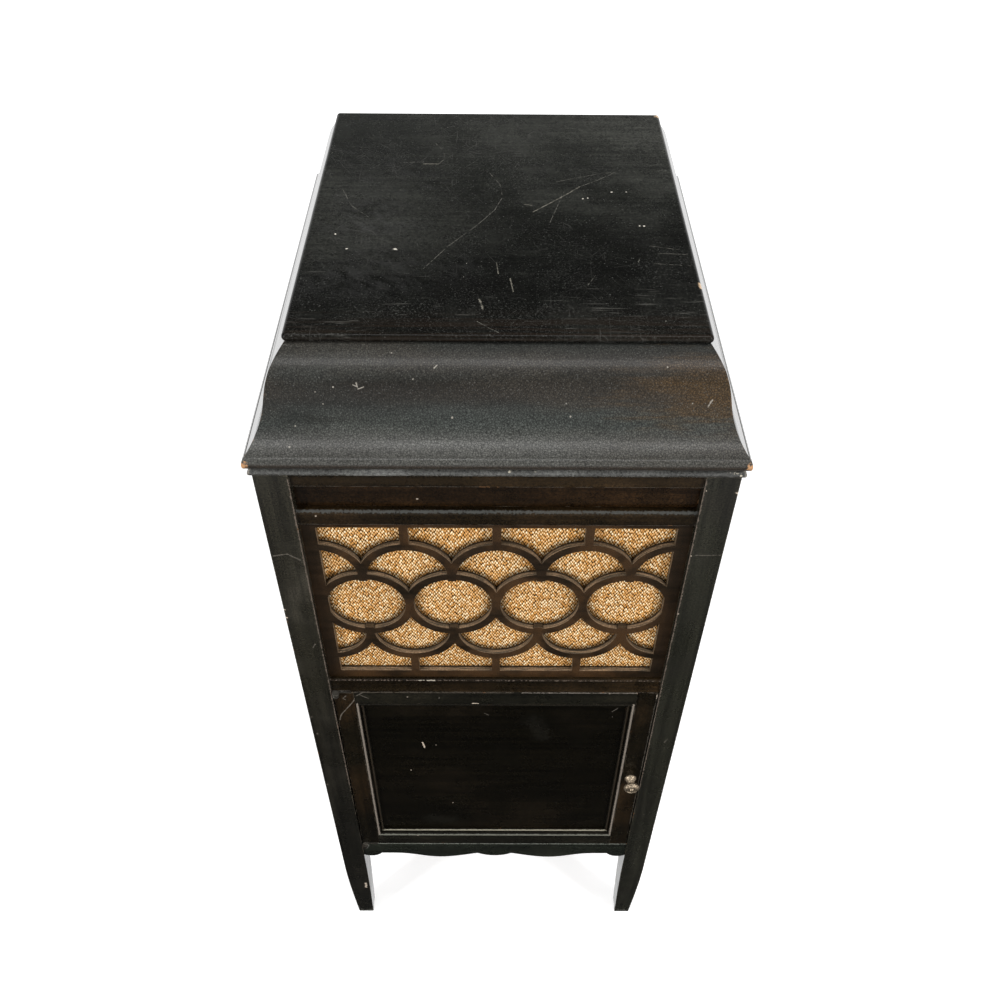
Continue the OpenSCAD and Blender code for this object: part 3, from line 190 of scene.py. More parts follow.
class Finish(Nodes):
    """A material under construction, with its place on the piece in Object coordinates."""

    def __init__(self, name):
        self.mat = bpy.data.materials.new(name)
        self.mat.use_nodes = True
        super().__init__(self.mat.node_tree, "Object")
        self.shader = self.nodes["Principled BSDF"]

    def facing(self, name):
        """How squarely the surface faces along an axis, either way: 1 square on, 0 edge on."""
        normal = self.add("ShaderNodeNewGeometry", out="Normal")
        return self.math("ABSOLUTE", self.axis(name, normal))

    def bump(self, height, strength, distance, normal=None):
        """The normal tilted by the slope of a height, over another normal if one is given."""
        sockets = {"Height": height, "Strength": strength, "Distance": distance}
        if normal is not None:
            sockets["Normal"] = normal
        return self.add("ShaderNodeBump", sockets=sockets)

    def rounded(self, radius):
        """The normal as if every edge were rounded by the radius."""
        return self.add("ShaderNodeBevel", samples=4, sockets={"Radius": radius})

    def arrises(self, reach, low=0.25, high=0.6):
        """1 on outward edges and small round beads, 0 on flats and in inner corners: how much
        of the piece's own skin lies just inside."""
        inside = self.add("ShaderNodeAmbientOcclusion", out="AO", samples=6, inside=True,
                          only_local=True, sockets={"Distance": reach})
        return self.band(self.math("SUBTRACT", 1.0, inside), low, high)

    def marks(self, strokes, rag=2.6):
        """1 on strokes, each given by its points and its half width; a noise frays them."""
        fray = self.math("SUBTRACT", self.noise(self.place, 430.0, 3), 0.5)
        shown = None
        for points, half in strokes:
            for start, end in zip(points, points[1:] or points):
                off = self.vector("SUBTRACT", self.place, start)
                run = np.subtract(end, start)
                length = float(run @ run)
                if length:
                    part = self.vector("DOT_PRODUCT", off, tuple(run / length), out="Value")
                    part = self.math("MULTIPLY", part, 1.0, clamp=True)
                    near = self.vector("SCALE", tuple(run), Scale=part)
                    off = self.vector("SUBTRACT", off, near)
                away = self.vector("LENGTH", off, out="Value")
                away = self.math("ADD", away, self.product(fray, rag * half))
                mark = self.band(away, 1.25 * half, 0.55 * half)
                shown = mark if shown is None else self.math("MAXIMUM", shown, mark)
        return shown

    def polish(self, amount, rough=0.10):
        """A thin old polish: faint seen square on, bright at a grazing angle."""
        for key, value in {"Weight": amount, "Roughness": rough, "IOR": 1.12}.items():
            self.shader.inputs["Coat " + key].default_value = value

    def grazing(self, start, end, amount):
        """Mirror gloss added where the surface is seen nearly edge on, as lacquer shows."""
        facing = self.add("ShaderNodeLayerWeight", out="Facing", sockets={"Blend": 0.5})
        gloss = self.add("ShaderNodeBsdfGlossy", sockets={"Roughness": 0.14})
        both = self.add("ShaderNodeMixShader", sockets={
            0: self.band(facing, start, end, 0.0, amount), 1: self.shader.outputs[0], 2: gloss})
        self.links.new(both, self.nodes["Material Output"].inputs["Surface"])

    def finish(self, colour, rough, normal=None, metal=0.0, **fixed):
        """The material itself, its shader fed; fixed are sockets that hold one number."""
        self.feed(self.shader.inputs["Base Color"], colour)
        self.feed(self.shader.inputs["Roughness"], rough)
        self.shader.inputs["Metallic"].default_value = metal
        if normal is not None:
            self.feed(self.shader.inputs["Normal"], normal)
        for key, value in fixed.items():
            self.shader.inputs[key.replace("_", " ")].default_value = value
        return self.mat


def stained_wood(name, along, dark, warm, rough=0.28, shine=0.30, clouds=(0.45, 0.72),
                 wear=0.5, worn=(0.20, 0.165, 0.12), rise=1.0, grit=0.22, touches=(), seed=0.0):
    """Black stain over wood: long grain streaks, warm clouds where the stain is thin, broken
    grey lines along rubbed arrises with some bare spots, a fine speckle, light flecks, and the
    listed touches, each a colour, a strength, a raggedness and strokes, on some parts painted
    highlights and shade. rise paints light falling from above: the top lighter than the foot."""
    f = Finish(name)
    shift = (seed, seed * 0.7, seed * 1.3)
    at = f.stretch(shift=shift)
    streaks = f.noise(f.stretch(GRAIN[along], shift=shift), 1.0, 5, 0.65, 0.4)
    pores = f.noise(f.stretch(tuple(4.5 * g for g in GRAIN[along]), shift=shift), 1.0, 3, 0.7)
    tone = f.mix(f.band(f.noise(at, 8.0, 5, 0.62), *clouds), dark, warm)
    tone = f.times(tone, f.band(streaks, 0.3, 0.72, 1.4, 0.5))
    tone = f.times(tone, f.band(f.noise(at, 560.0, 3, 0.7), 0.3, 0.7, 0.15, 2.0, False))
    # painted light from above: rise lightens the top and leaves the foot darker
    if rise != 1.0:
        tone = f.times(tone, f.band(f.axis("Z"), 0.25, 0.95, 1.0, rise))
    smear = f.noise(f.stretch((9, 9, 9), shift=shift), 1.0, 6, 0.72, 0.6)
    tone = f.mix(f.band(smear, 0.62, 0.78, 0.0, 0.22), tone, (0.055, 0.045, 0.034))
    tone = f.mix(f.band(pores, 0.64, 0.8, 0.0, 0.3), tone, (0.035, 0.026, 0.018))
    dust = f.band(f.noise(at, 700.0, 2, 0.8), 0.54, 0.74, 0.0, grit)
    tone = f.mix(dust, tone, (0.055, 0.050, 0.038))
    edge = f.arrises(1.9 * mm)
    broken = f.noise(at, 85.0, 5, 0.75)
    rubbed = f.product(edge, f.band(broken, 0.62 - 0.3 * wear, 0.74 - 0.22 * wear))
    tone = f.mix(f.product(rubbed, 0.85), tone, worn)
    spots = f.band(f.noise(at, 48.0, 3, 0.6), 0.66, 0.70)
    tone = f.mix(f.product(edge, spots, 0.9), tone, (0.42, 0.20, 0.08))
    dots = f.band(f.cells(at, 60.0), 0.042, 0.028)
    few = f.band(f.noise(at, 23.0, 2), 0.62, 0.65)
    tone = f.mix(f.product(dots, few), tone, (0.30, 0.27, 0.23))
    for colour, strength, rag, strokes in touches:
        tone = f.mix(f.product(f.marks(strokes, rag), strength), tone, colour)
    dull = f.band(f.noise(at, 16.0, 5, 0.65), 0.3, 0.75, rough - 0.06, rough + 0.12)
    relief = f.math("ADD", f.product(streaks, 0.5), f.product(pores, 0.5))
    normal = f.bump(relief, 0.25, 0.25 * mm, f.rounded(1.2 * mm))
    f.polish(0.5)
    return f.finish(tone, dull, normal, Specular_IOR_Level=shine)


def scuffs(f):
    """Short straight hairs that lie in several directions, and curled ones along the lines
    between drifting cells, all in patches."""
    worn = f.band(f.noise(f.stretch(shift=(3, 1, 0)), 8.0, 4, 0.65), 0.40, 0.70)
    hairs = None
    for turn, seed in ((3, 1.0), (24, 2.2), (-17, 3.1), (62, 4.7), (-52, 5.9), (90, 7.3)):
        field = f.noise(f.stretch((22, 560, 1), turn=(0, 0, turn), shift=(seed, seed, 0)),
                        1.0, 2, 0.6)
        field = f.band(field, 0.64, 0.72)
        hairs = field if hairs is None else f.math("MAXIMUM", hairs, field)
    drift = f.vector("SCALE", f.noise(f.place, 16.0, 2, 0.5, out="Color"), Scale=0.07)
    curls = f.band(f.cells(f.vector("ADD", f.place, drift), 20.0, 1.0, "DISTANCE_TO_EDGE"),
                   0.020, 0.006)
    few = f.band(f.noise(f.stretch(shift=(8, 8, 0)), 26.0, 3, 0.6), 0.52, 0.62)
    hairs = f.math("MAXIMUM", hairs, f.product(curls, few))
    return f.product(hairs, worn)


def scratched(f, tone):
    """The tone with the longer scratches seen on the lid's flat top, faint and bright ones
    broken by a noise, and its white dots. Each line is a half width in mm and its points."""
    def line(half, *points):
        return [(x, y, TOP) for x, y in points], half * mm

    faint = [line(0.45, (-0.0705, 0.1795), (-0.0595, 0.1580), (-0.0576, 0.1404),
                  (-0.0638, 0.1288)),
             line(0.40, (-0.0089, 0.1092), (0.0019, 0.0853), (0.0045, 0.0588),
                  (-0.0033, 0.0332), (-0.0207, 0.0035), (-0.0472, -0.0342), (-0.0695, -0.0743)),
             line(0.35, (0.0513, 0.0093), (0.0678, 0.0701)),
             line(0.45, (0.0842, 0.0809), (0.1049, 0.0958), (0.1299, 0.1178)),
             line(0.35, (0.0608, 0.0914), (0.1047, 0.1085), (0.1296, 0.1145)),
             line(0.45, (-0.0183, -0.1569), (-0.0072, -0.1672), (0.0004, -0.1730)),
             line(0.35, (0.1440, -0.0321), (0.1727, -0.0391)),
             line(0.40, (0.1524, -0.0456), (0.1800, -0.0475)),
             line(0.35, (0.1454, -0.0634), (0.1800, -0.0670)),
             line(0.45, (0.1341, -0.0540), (0.1306, -0.0661)),
             line(0.40, (-0.1050, 0.1310), (-0.0800, 0.1330)),
             line(0.35, (0.0820, -0.1000), (0.0900, -0.0840)),
             line(0.40, (-0.1600, 0.0720), (-0.1480, 0.0400), (-0.1290, 0.0180))]
    bright = [line(0.60, (0.0352, 0.0297), (0.0702, 0.0650), (0.0842, 0.0809)),
              line(0.55, (0.0263, 0.0448), (0.0344, 0.0427)),
              line(0.55, (-0.0802, 0.1286), (-0.0638, 0.1288)),
              line(0.50, (-0.0015, -0.0632), (0.0003, -0.0821)),
              line(0.60, (0.0112, -0.0904), (0.0137, -0.1110)),
              line(0.85, (-0.0166, -0.1234), (-0.0132, -0.1391))]
    dots = [line(half, (x, y)) for half, x, y in (
        (1.0, 0.0865, 0.0568), (0.8, 0.0918, 0.0579), (1.1, 0.1169, 0.0707),
        (0.8, 0.1323, 0.0709), (1.8, -0.0980, -0.0412), (1.2, -0.1443, -0.0408),
        (1.0, -0.1579, -0.0143), (1.0, 0.1394, 0.0039), (1.2, 0.1440, 0.0039))]
    gap = f.band(f.noise(f.place, 160.0, 3, 0.7), 0.40, 0.56)
    tone = f.mix(f.product(f.marks(faint), gap, 0.8), tone, (0.13, 0.125, 0.108))
    tone = f.mix(f.product(f.marks(bright), f.band(gap, 0, 1, 0.2, 0.6)), tone,
                 (0.30, 0.28, 0.23))
    return f.mix(f.marks(dots), tone, (0.66, 0.62, 0.54))


def top_board_wood():
    """The lid's flat top: black polish with fine crosswise streaks, dusty patches, scuffs in
    every direction, the longer scratches seen on it, and small chips of bare wood."""
    f = Finish("lid_top_wood")
    streaks = f.noise(f.stretch((5, 190, 190)), 1.0, 6, 0.66, 0.3)
    pores = f.noise(f.stretch((14, 800, 800)), 1.0, 3, 0.7)
    patch = f.noise(f.place, 7.0, 5, 0.62)
    tone = f.mix(f.band(patch, 0.36, 0.70), (0.0030, 0.0034, 0.0024), (0.0165, 0.0171, 0.0142))
    tone = f.times(tone, f.band(streaks, 0.3, 0.72, 1.35, 0.6))
    tone = f.times(tone, f.band(f.noise(f.place, 400.0, 3, 0.75), 0.3, 0.7, 0.05, 2.2, False))
    # painted reflection: the board darker towards the front and lighter towards the back
    tone = f.times(tone, f.band(f.axis("Y"), -0.20, 0.26, 0.4, 1.9))
    # dust in the pores, thicker in patches; a bloom left of the middle, brown along the front
    thick = f.band(f.noise(f.stretch(shift=(5, 2, 0)), 11.0, 5, 0.7), 0.36, 0.68)
    grit = f.band(f.noise(f.place, 470.0, 2, 0.8), 0.52, 0.70)
    grit = f.product(grit, f.band(thick, 0, 1, 0.10, 0.66))
    tone = f.mix(grit, tone, (0.068, 0.068, 0.063))
    specks = f.band(f.cells(f.place, 360.0), 0.34, 0.12)
    strewn = f.band(f.noise(f.stretch(shift=(1, 6, 0)), 60.0, 4, 0.75), 0.44, 0.62)
    uneven = f.band(f.noise(f.place, 230.0, 3, 0.7), 0.42, 0.66, 0.0, 0.8)
    specks = f.product(specks, f.band(strewn, 0.0, 1.0, 0.28, 0.75))
    tone = f.mix(f.product(specks, uneven), tone, (0.130, 0.132, 0.121))
    bloom = f.vector("DISTANCE", f.stretch((1, 0.8, 1)), (-0.128, 0.0, TOP), out="Value")
    bloom = f.band(f.math("ADD", bloom, f.band(patch, 0.2, 0.8, -0.06, 0.06)), 0.12, 0.0)
    smoky = f.band(f.noise(f.stretch((45, 75, 1), turn=(0, 0, 35)), 1.0, 6, 0.78), 0.36, 0.66)
    tone = f.mix(f.product(bloom, smoky, 0.6), tone, (0.056, 0.056, 0.054))
    brown = f.product(f.band(f.axis("Y"), -0.13, -0.17), f.band(streaks, 0.42, 0.6))
    tone = f.mix(f.product(brown, 0.5), tone, (0.022, 0.015, 0.010))
    hairs = scuffs(f)
    tone = f.mix(f.product(hairs, 0.45), tone, (0.085, 0.083, 0.076))
    # short light dashes along the grain, towards the front and the right edge
    dashes = f.band(f.noise(f.stretch((26, 430, 1), shift=(4, 9, 0)), 1.0, 2, 0.6), 0.62, 0.72)
    where = f.math("MAXIMUM", f.band(f.axis("Y"), -0.03, -0.11),
                   f.product(f.band(f.axis("X"), 0.11, 0.16), 0.8))
    where = f.product(where, f.band(patch, 0.40, 0.56))
    tone = f.mix(f.product(dashes, where, 0.6), tone, (0.115, 0.112, 0.100))
    tone = scratched(f, tone)
    flecks = f.product(f.band(f.cells(f.place, 75.0), 0.045, 0.03),
                       f.band(f.noise(f.place, 26.0, 2), 0.58, 0.62))
    tone = f.mix(f.product(flecks, 0.8), tone, (0.36, 0.34, 0.30))
    edge = f.arrises(2.2 * mm)
    broken = f.noise(f.stretch((40, 70, 70)), 1.0, 5, 0.7)
    tone = f.mix(f.product(edge, f.band(broken, 0.48, 0.62, 0, 0.75)), tone, (0.17, 0.14, 0.10))
    chips = [([(0.1860, 0.2480, 1.0530)], 5.0 * mm),
             ([(0.1862, -0.0960, 1.0530), (0.1862, -0.1010, 1.0530)], 2.9 * mm)]
    tone = f.mix(f.marks(chips, 1.6), tone, (0.66, 0.47, 0.30))
    dull = f.band(f.noise(f.place, 14.0, 6, 0.7), 0.3, 0.75, 0.20, 0.34)
    dull = f.math("ADD", dull, f.product(hairs, 0.15))
    relief = f.math("ADD", f.product(streaks, 0.4), f.product(pores, 0.5))
    normal = f.bump(relief, 0.3, 0.3 * mm, f.rounded(0.9 * mm))
    f.polish(0.4)
    return f.finish(tone, dull, normal, Specular_IOR_Level=0.09)


def ogee_wood():
    """The lid's curved moulding: grey black with a fine crackle all over, bluish bands that
    run lengthways, brown rubbed places on the crest and at the right, and cream flecks."""
    f = Finish("lid_ogee_wood")
    crackle = f.band(f.cells(f.place, 430.0, 1.0, "DISTANCE_TO_EDGE"), 0.0, 0.22)
    fine = f.noise(f.place, 760.0, 3, 0.75)
    bands = f.noise(f.stretch((3, 24, 24)), 1.0, 5, 0.62)
    clouds = f.noise(f.stretch(shift=(2, 2, 2)), 7.0, 4, 0.62)
    tone = f.mix(f.band(bands, 0.36, 0.66), (0.0105, 0.0118, 0.0106), (0.046, 0.049, 0.044))
    tone = f.mix(f.band(clouds, 0.44, 0.70, 0, 0.6), tone, (0.036, 0.041, 0.038))
    height = f.axis("Z")
    tone = f.times(tone, f.band(height, 0.985, 1.042, 1.3, 0.75))
    # painted shade along the steep middle of the curve, broken by the clouds
    middle = f.band(f.apart(height, 1.019), 0.018, 0.004)
    middle = f.product(middle, f.band(clouds, 0.36, 0.58, 0.35, 0.85))
    tone = f.mix(middle, tone, (0.0170, 0.0140, 0.0110))
    # brown rubbed place at the right end of the crest, and a faint one along it
    ragged = f.band(f.noise(f.stretch((18, 150, 150)), 1.0, 4, 0.65), 0, 1, -0.03, 0.03)
    off = f.vector("DISTANCE", f.stretch((0.42, 1, 1)), (0.078, -0.209, 1.018), out="Value")
    tone = f.mix(f.band(f.math("ADD", off, ragged), 0.046, 0.006, 0.0, 0.9), tone,
                 (0.064, 0.037, 0.0138))
    crest = f.band(f.apart(height, 1.037), 0.010, 0.0)
    crest = f.product(crest, f.band(clouds, 0.40, 0.62))
    tone = f.mix(f.product(crest, 0.5), tone, (0.050, 0.040, 0.032))
    # the flare pales towards its foot, and the nose of the lip is brown black
    tone = f.mix(f.band(height, 0.994, 0.980, 0.0, 0.66), tone, (0.094, 0.091, 0.082))
    soil = f.band(f.noise(f.stretch((4, 13, 13), shift=(5, 1, 3)), 1.0, 4, 0.6), 0.46, 0.66)
    tone = f.mix(f.product(soil, 0.5), tone, (0.050, 0.043, 0.034))
    nose = f.product(f.band(height, 0.9745, 0.9715), f.band(f.axis("Y"), -0.235, -0.245))
    tone = f.mix(f.product(nose, 0.9), tone, (0.034, 0.025, 0.018))
    tone = f.times(tone, f.band(fine, 0.3, 0.7, 0.3, 1.9, False))
    tone = f.mix(f.product(f.math("SUBTRACT", 1.0, crackle), 0.6), tone, (0.008, 0.008, 0.0078))
    glint = f.band(f.noise(f.place, 900.0, 1), 0.60, 0.8, 0.0, 0.35)
    tone = f.mix(glint, tone, (0.22, 0.22, 0.21))
    flecks = f.product(f.band(f.cells(f.place, 62.0), 0.05, 0.035),
                       f.band(f.noise(f.place, 23.0, 2), 0.6, 0.63))
    tone = f.mix(f.product(flecks, 0.5), tone, (0.4, 0.38, 0.34))
    seen = [([spot], 0.75 * half * mm) for spot, half in (
        ((-0.1797, -0.2411, 0.9811), 1.3), ((-0.1755, -0.2258, 0.9917), 0.9),
        ((-0.1567, -0.2116, 1.0181), 0.9), ((-0.1506, -0.2155, 1.0081), 0.9),
        ((-0.0912, -0.1867, 1.0412), 1.0), ((-0.0725, -0.2056, 1.0280), 1.1),
        ((-0.0395, -0.2208, 0.9979), 1.3), ((-0.1411, -0.2096, 1.0220), 0.9),
        ((0.0631, -0.2201, 0.9989), 1.0), ((0.1455, -0.1971, 1.0357), 1.0),
        ((0.1682, -0.2148, 1.0101), 1.1))]
    seen += [([(-0.1240, -0.2085, 1.0237), (-0.1201, -0.2095, 1.0221), (-0.1213, -0.2077, 1.0251)],
              0.5 * mm), ([(-0.1198, -0.2103, 1.0206), (-0.1150, -0.2095, 1.0221)], 0.45 * mm),
             ([(-0.0546, -0.1987, 1.0346), (-0.0521, -0.1965, 1.0361)], 0.5 * mm),
             ([(0.1820, -0.2165, 1.0075), (0.1850, -0.2135, 1.0130)], 0.8 * mm)]
    tone = f.mix(f.product(f.marks(seen), 0.65), tone, (0.40, 0.37, 0.32))
    edge = f.arrises(2.0 * mm, 0.3, 0.7)
    broken = f.noise(f.place, 60.0, 5, 0.7)
    tone = f.mix(f.product(edge, f.band(broken, 0.48, 0.62, 0, 0.8)), tone, (0.20, 0.13, 0.08))
    corners = [([(side * 0.2195, -0.2545, 0.9715)], 4.0 * mm) for side in (-1, 1)]
    tone = f.mix(f.marks(corners), tone, (0.50, 0.27, 0.13))
    relief = f.math("ADD", f.product(crackle, 0.6), f.product(fine, 0.4))
    normal = f.bump(relief, 0.5, 0.16 * mm)
    dull = f.band(f.noise(f.stretch((6, 30, 30)), 1.0, 4, 0.6), 0.3, 0.7, 0.26, 0.40)
    f.polish(1.0, 0.12)
    # the two side slopes have kept their gloss, the crackled front hardly any
    f.grazing(0.42, 0.66, f.band(f.facing("X"), 0.25, 0.45, 0.10, 0.85))
    return f.finish(tone, dull, normal, Specular_IOR_Level=0.16)


def fret_wood():
    """Fret sawn panel: dark brown face, rubbed tan edges and pale sawn sides in thin layers."""
    f = Finish("fret_wood")
    streaks = f.noise(f.stretch((9, 60, 130)), 1.0, 5, 0.6)
    tone = f.mix(f.band(streaks, 0.3, 0.7), (0.0090, 0.0058, 0.0028), (0.021, 0.0122, 0.0058))
    warm = f.band(f.noise(f.place, 13.0, 4, 0.65), 0.40, 0.62)
    warm = f.product(warm, f.band(f.math("ABSOLUTE", f.axis("X")), 0.150, 0.172, 1, 0.3))
    tone = f.mix(warm, tone, (0.052, 0.0260, 0.0100))
    tone = f.times(tone, f.band(f.noise(f.place, 800.0, 2, 0.7), 0.3, 0.7, 0.5, 1.6, False))
    sawn = f.band(f.facing("Y"), 0.9, 0.5)
    ply = f.noise(f.stretch((40, 1100, 40)), 1.0, 2)
    side = f.mix(f.band(ply, 0.38, 0.62), (0.095, 0.078, 0.056), (0.34, 0.235, 0.145))
    side = f.times(side, f.band(f.noise(f.place, 700.0, 2, 0.7), 0.3, 0.7, 0.35, 1.2, False))
    # painted shadow: the sawn sides go dark over their last mm where they meet the cloth
    side = f.mix(f.band(f.axis("Y"), -0.2388, -0.2375, 0.0, 0.92), side, (0.012, 0.010, 0.007))
    # the stubs that stand into the rings are dark on top
    stub = f.band(f.math("PINGPONG", f.math("ADD", f.axis("X"), RING), RING), 6.4 * mm, 4.8 * mm)
    low = f.apart(f.axis("Z"), RING_HEIGHT - 38.0 * mm)
    stub = f.product(stub, f.band(low, 5.5 * mm, 4.0 * mm))
    side = f.mix(f.product(stub, 0.85), side, (0.026, 0.019, 0.012))
    tone = f.mix(f.product(sawn, 0.9), tone, side)
    edge = f.arrises(1.0 * mm)
    broken = f.noise(f.place, 110.0, 4, 0.7)
    tone = f.mix(f.product(edge, f.band(broken, 0.42, 0.62, 0, 0.6)), tone, (0.25, 0.165, 0.095))
    normal = f.bump(streaks, 0.25, 0.25 * mm, f.rounded(0.5 * mm))
    return f.finish(tone, f.band(streaks, 0.3, 0.7, 0.34, 0.5), normal, Specular_IOR_Level=0.14)


def gold_weave():
    """Coarse cloth in the sheet's own map: knots on a lattice that stands on its corner, each
    a little out of place and of its own tone, with painted highlights in cream at the crowns
    and painted shade in the dark holes between."""
    f = Finish("gold_weave")
    uv = f.add("ShaderNodeUVMap")
    lean = f.math("PINGPONG", f.axis("X", uv), 2.0)
    leaning = f.vector("ADD", uv, f.add("ShaderNodeCombineXYZ", sockets={1: f.product(lean, 0.55)}))
    tall = f.vector("MULTIPLY", leaning, (1.15, 0.62, 1))
    turned = f.add("ShaderNodeMapping", sockets={
        "Vector": tall, "Rotation": (0, 0, math.radians(45))})
    knots = {"Vector": turned, "Scale": 1.1 / math.sqrt(2), "Randomness": 0.28}
    off = f.add("ShaderNodeTexVoronoi", out="Distance", sockets=knots)
    level = f.axis("X", f.add("ShaderNodeTexVoronoi", out="Color", sockets=knots))
    fibre = f.noise(f.vector("MULTIPLY", uv, (3.0, 1.6, 1)), 1.0, 3, 0.7)
    off = f.math("ADD", off, f.product(f.math("SUBTRACT", fibre, 0.5), 0.22))
    gold = f.mix(level, (0.64, 0.292, 0.070), (0.84, 0.445, 0.125))
    # painted shade: near-black holes between the knots
    tone = f.mix(f.band(off, 0.60, 0.39), (0.014, 0.007, 0.002), gold)
    # painted highlight: cream at the crown of each knot
    crown = f.band(f.math("SUBTRACT", off, f.product(level, 0.25)), 0.22, 0.0)
    tone = f.mix(crown, tone, (1.0, 0.93, 0.70))
    clouds = f.noise(f.place, 22.0, 3, 0.6)
    tone = f.times(tone, f.band(clouds, 0.35, 0.7, 0.92, 1.08))
    # darker where the cloth lies close to the fret's rings and arches: partly dirt, partly painted
    # shadow of the fret
    across, rise = f.axis("X"), f.apart(f.axis("Z"), RING_HEIGHT)

    def from_ring(across, rise):
        """Distance to the middle line of the nearest ring of the row."""
        apart = f.vector("LENGTH", f.add("ShaderNodeCombineXYZ", sockets={
            0: f.math("PINGPONG", across, RING), 1: rise}), out="Value")
        return f.apart(apart, RING)

    ring = f.band(from_ring(f.math("ADD", across, RING), rise), 12.5 * mm, 5.0 * mm)
    arch = f.band(from_ring(across, f.math("SUBTRACT", rise, RING)), 12.5 * mm, 5.0 * mm)
    arch = f.product(arch, f.band(rise, RING - 6 * mm, RING))
    tone = f.times(tone, f.band(f.math("MAXIMUM", ring, arch), 0.0, 1.0, 1.06, 0.42))
    normal = f.bump(f.math("SUBTRACT", 1.0, off), 0.6, 1.0 * mm)
    return f.finish(tone, 0.6, normal, Specular_IOR_Level=0.15)


def plain_wood(name, along, pale, deep, rough=0.6):
    """Bare or oiled board: two tones along the grain, fine pores."""
    f = Finish(name)
    rings = f.noise(f.stretch(GRAIN[along]), 0.35, 4, 0.6, 0.8)
    pores = f.noise(f.stretch(tuple(5 * g for g in GRAIN[along])), 1.0, 3, 0.7)
    tone = f.mix(f.band(rings, 0.3, 0.7), pale, deep)
    tone = f.mix(f.band(pores, 0.58, 0.75, 0.0, 0.5), tone, tuple(0.4 * v for v in deep))
    normal = f.bump(pores, 0.3, 0.25 * mm, f.rounded(0.6 * mm))
    return f.finish(tone, f.band(rings, 0.3, 0.7, rough - 0.06, rough + 0.08), normal,
                    Specular_IOR_Level=0.35)


def metal(name, bright, dull, rough=0.35, tarnish=(0.4, 0.65), brushed=None, scale=90.0,
          chased=0.0):
    """Metal with tarnish clouds, darker and rougher, optional brush lines along an axis, and
    optional chased ornament as small round dents."""
    f = Finish(name)
    clouds = f.noise(f.place, scale, 5, 0.65)
    amount = f.band(clouds, *tarnish)
    tone = f.mix(amount, bright, dull)
    pits = f.cells(f.place, scale * 9)
    tone = f.mix(f.band(pits, 0.12, 0.05, 0.0, 0.5), tone, tuple(0.3 * v for v in dull))
    height = clouds
    if brushed:
        lines = f.noise(f.stretch(tuple(1.0 if a == brushed else 900.0 for a in "xyz")), 1.0, 2)
        height = f.math("ADD", f.product(clouds, 0.3), lines)
    strength = 0.12
    if chased:
        dents = f.cells(f.place, 520.0, 0.35)
        tone = f.times(tone, f.band(dents, 0.2, 0.6, 1.15, 0.4))
        height, strength = f.math("SUBTRACT", height, f.product(dents, 4.0)), chased
    normal = f.bump(height, strength, 0.1 * mm, f.rounded(0.35 * mm))
    return f.finish(tone, f.band(amount, 0, 1, rough, rough + 0.25), normal, metal=1.0)


def enamel(name, clean, dusty):
    """Black enamel over a casting: orange peel bump and faint dust."""
    f = Finish(name)
    grainy = f.noise(f.place, 420.0, 4, 0.6)
    dust = f.noise(f.place, 30.0, 5, 0.7)
    tone = f.mix(f.band(dust, 0.45, 0.75), clean, dusty)
    normal = f.bump(grainy, 0.3, 0.25 * mm, f.rounded(0.8 * mm))
    return f.finish(tone, f.band(dust, 0.3, 0.7, 0.4, 0.6), normal)


def felt(name, light, deep):
    """Pressed felt: short fibres as fine noise, worn clouds, a soft sheen."""
    f = Finish(name)
    fibres = f.noise(f.place, 1500.0, 4, 0.8)
    clouds = f.noise(f.place, 18.0, 4, 0.6)
    tone = f.mix(f.band(fibres, 0.35, 0.7), deep, light)
    tone = f.mix(f.band(clouds, 0.45, 0.75, 0, 0.35), tone, tuple(1.7 * v for v in light))
    normal = f.bump(fibres, 0.6, 0.35 * mm)
    return f.finish(tone, 0.95, normal, Specular_IOR_Level=0.1, Sheen_Weight=0.4)


# ---------------- surfaces
def surface(name, points, faces, material, smooth=True, uv=None):
    """A mesh object at the origin from an array of points and a list of faces."""
    mesh = bpy.data.meshes.new(name)
    mesh.from_pydata(points.tolist(), [], faces)
    if uv is not None:
        layer = mesh.uv_layers.new(name="weave")
        index = np.empty(len(mesh.loops), dtype=np.int32)
        mesh.loops.foreach_get("vertex_index", index)
        layer.data.foreach_set("uv", uv[index].astype(np.float32).ravel())
    mesh.polygons.foreach_set("use_smooth", [smooth] * len(mesh.polygons))
    mesh.materials.append(material)
    mesh.update()
    obj = bpy.data.objects.new(name, mesh)
    bpy.context.scene.collection.objects.link(obj)
    return obj


def grid_faces(rows, columns, wrap=False):
    """Quads of a grid of points stored row by row: point n of row r is r columns + n, and wrap
    joins the last column to the first."""
    r = np.arange(rows - 1)[:, None]
    c = np.arange(columns if wrap else columns - 1)[None, :]
    n = (c + 1) % columns
    return np.stack([r * columns + c, r * columns + n, (r + 1) * columns + n,
                     (r + 1) * columns + c], axis=-1).reshape(-1, 4)


def bezier(points, steps):
    """Points on a cubic curve: (1-t)^3 a + 3 (1-t)^2 t b + 3 (1-t) t^2 c + t^3 d."""
    t = np.linspace(0, 1, steps)[:, None]
    a, b, c, d = np.array(points, dtype=float)
    return (1 - t) ** 3 * a + 3 * (1 - t) ** 2 * t * b + 3 * (1 - t) * t ** 2 * c + t ** 3 * d


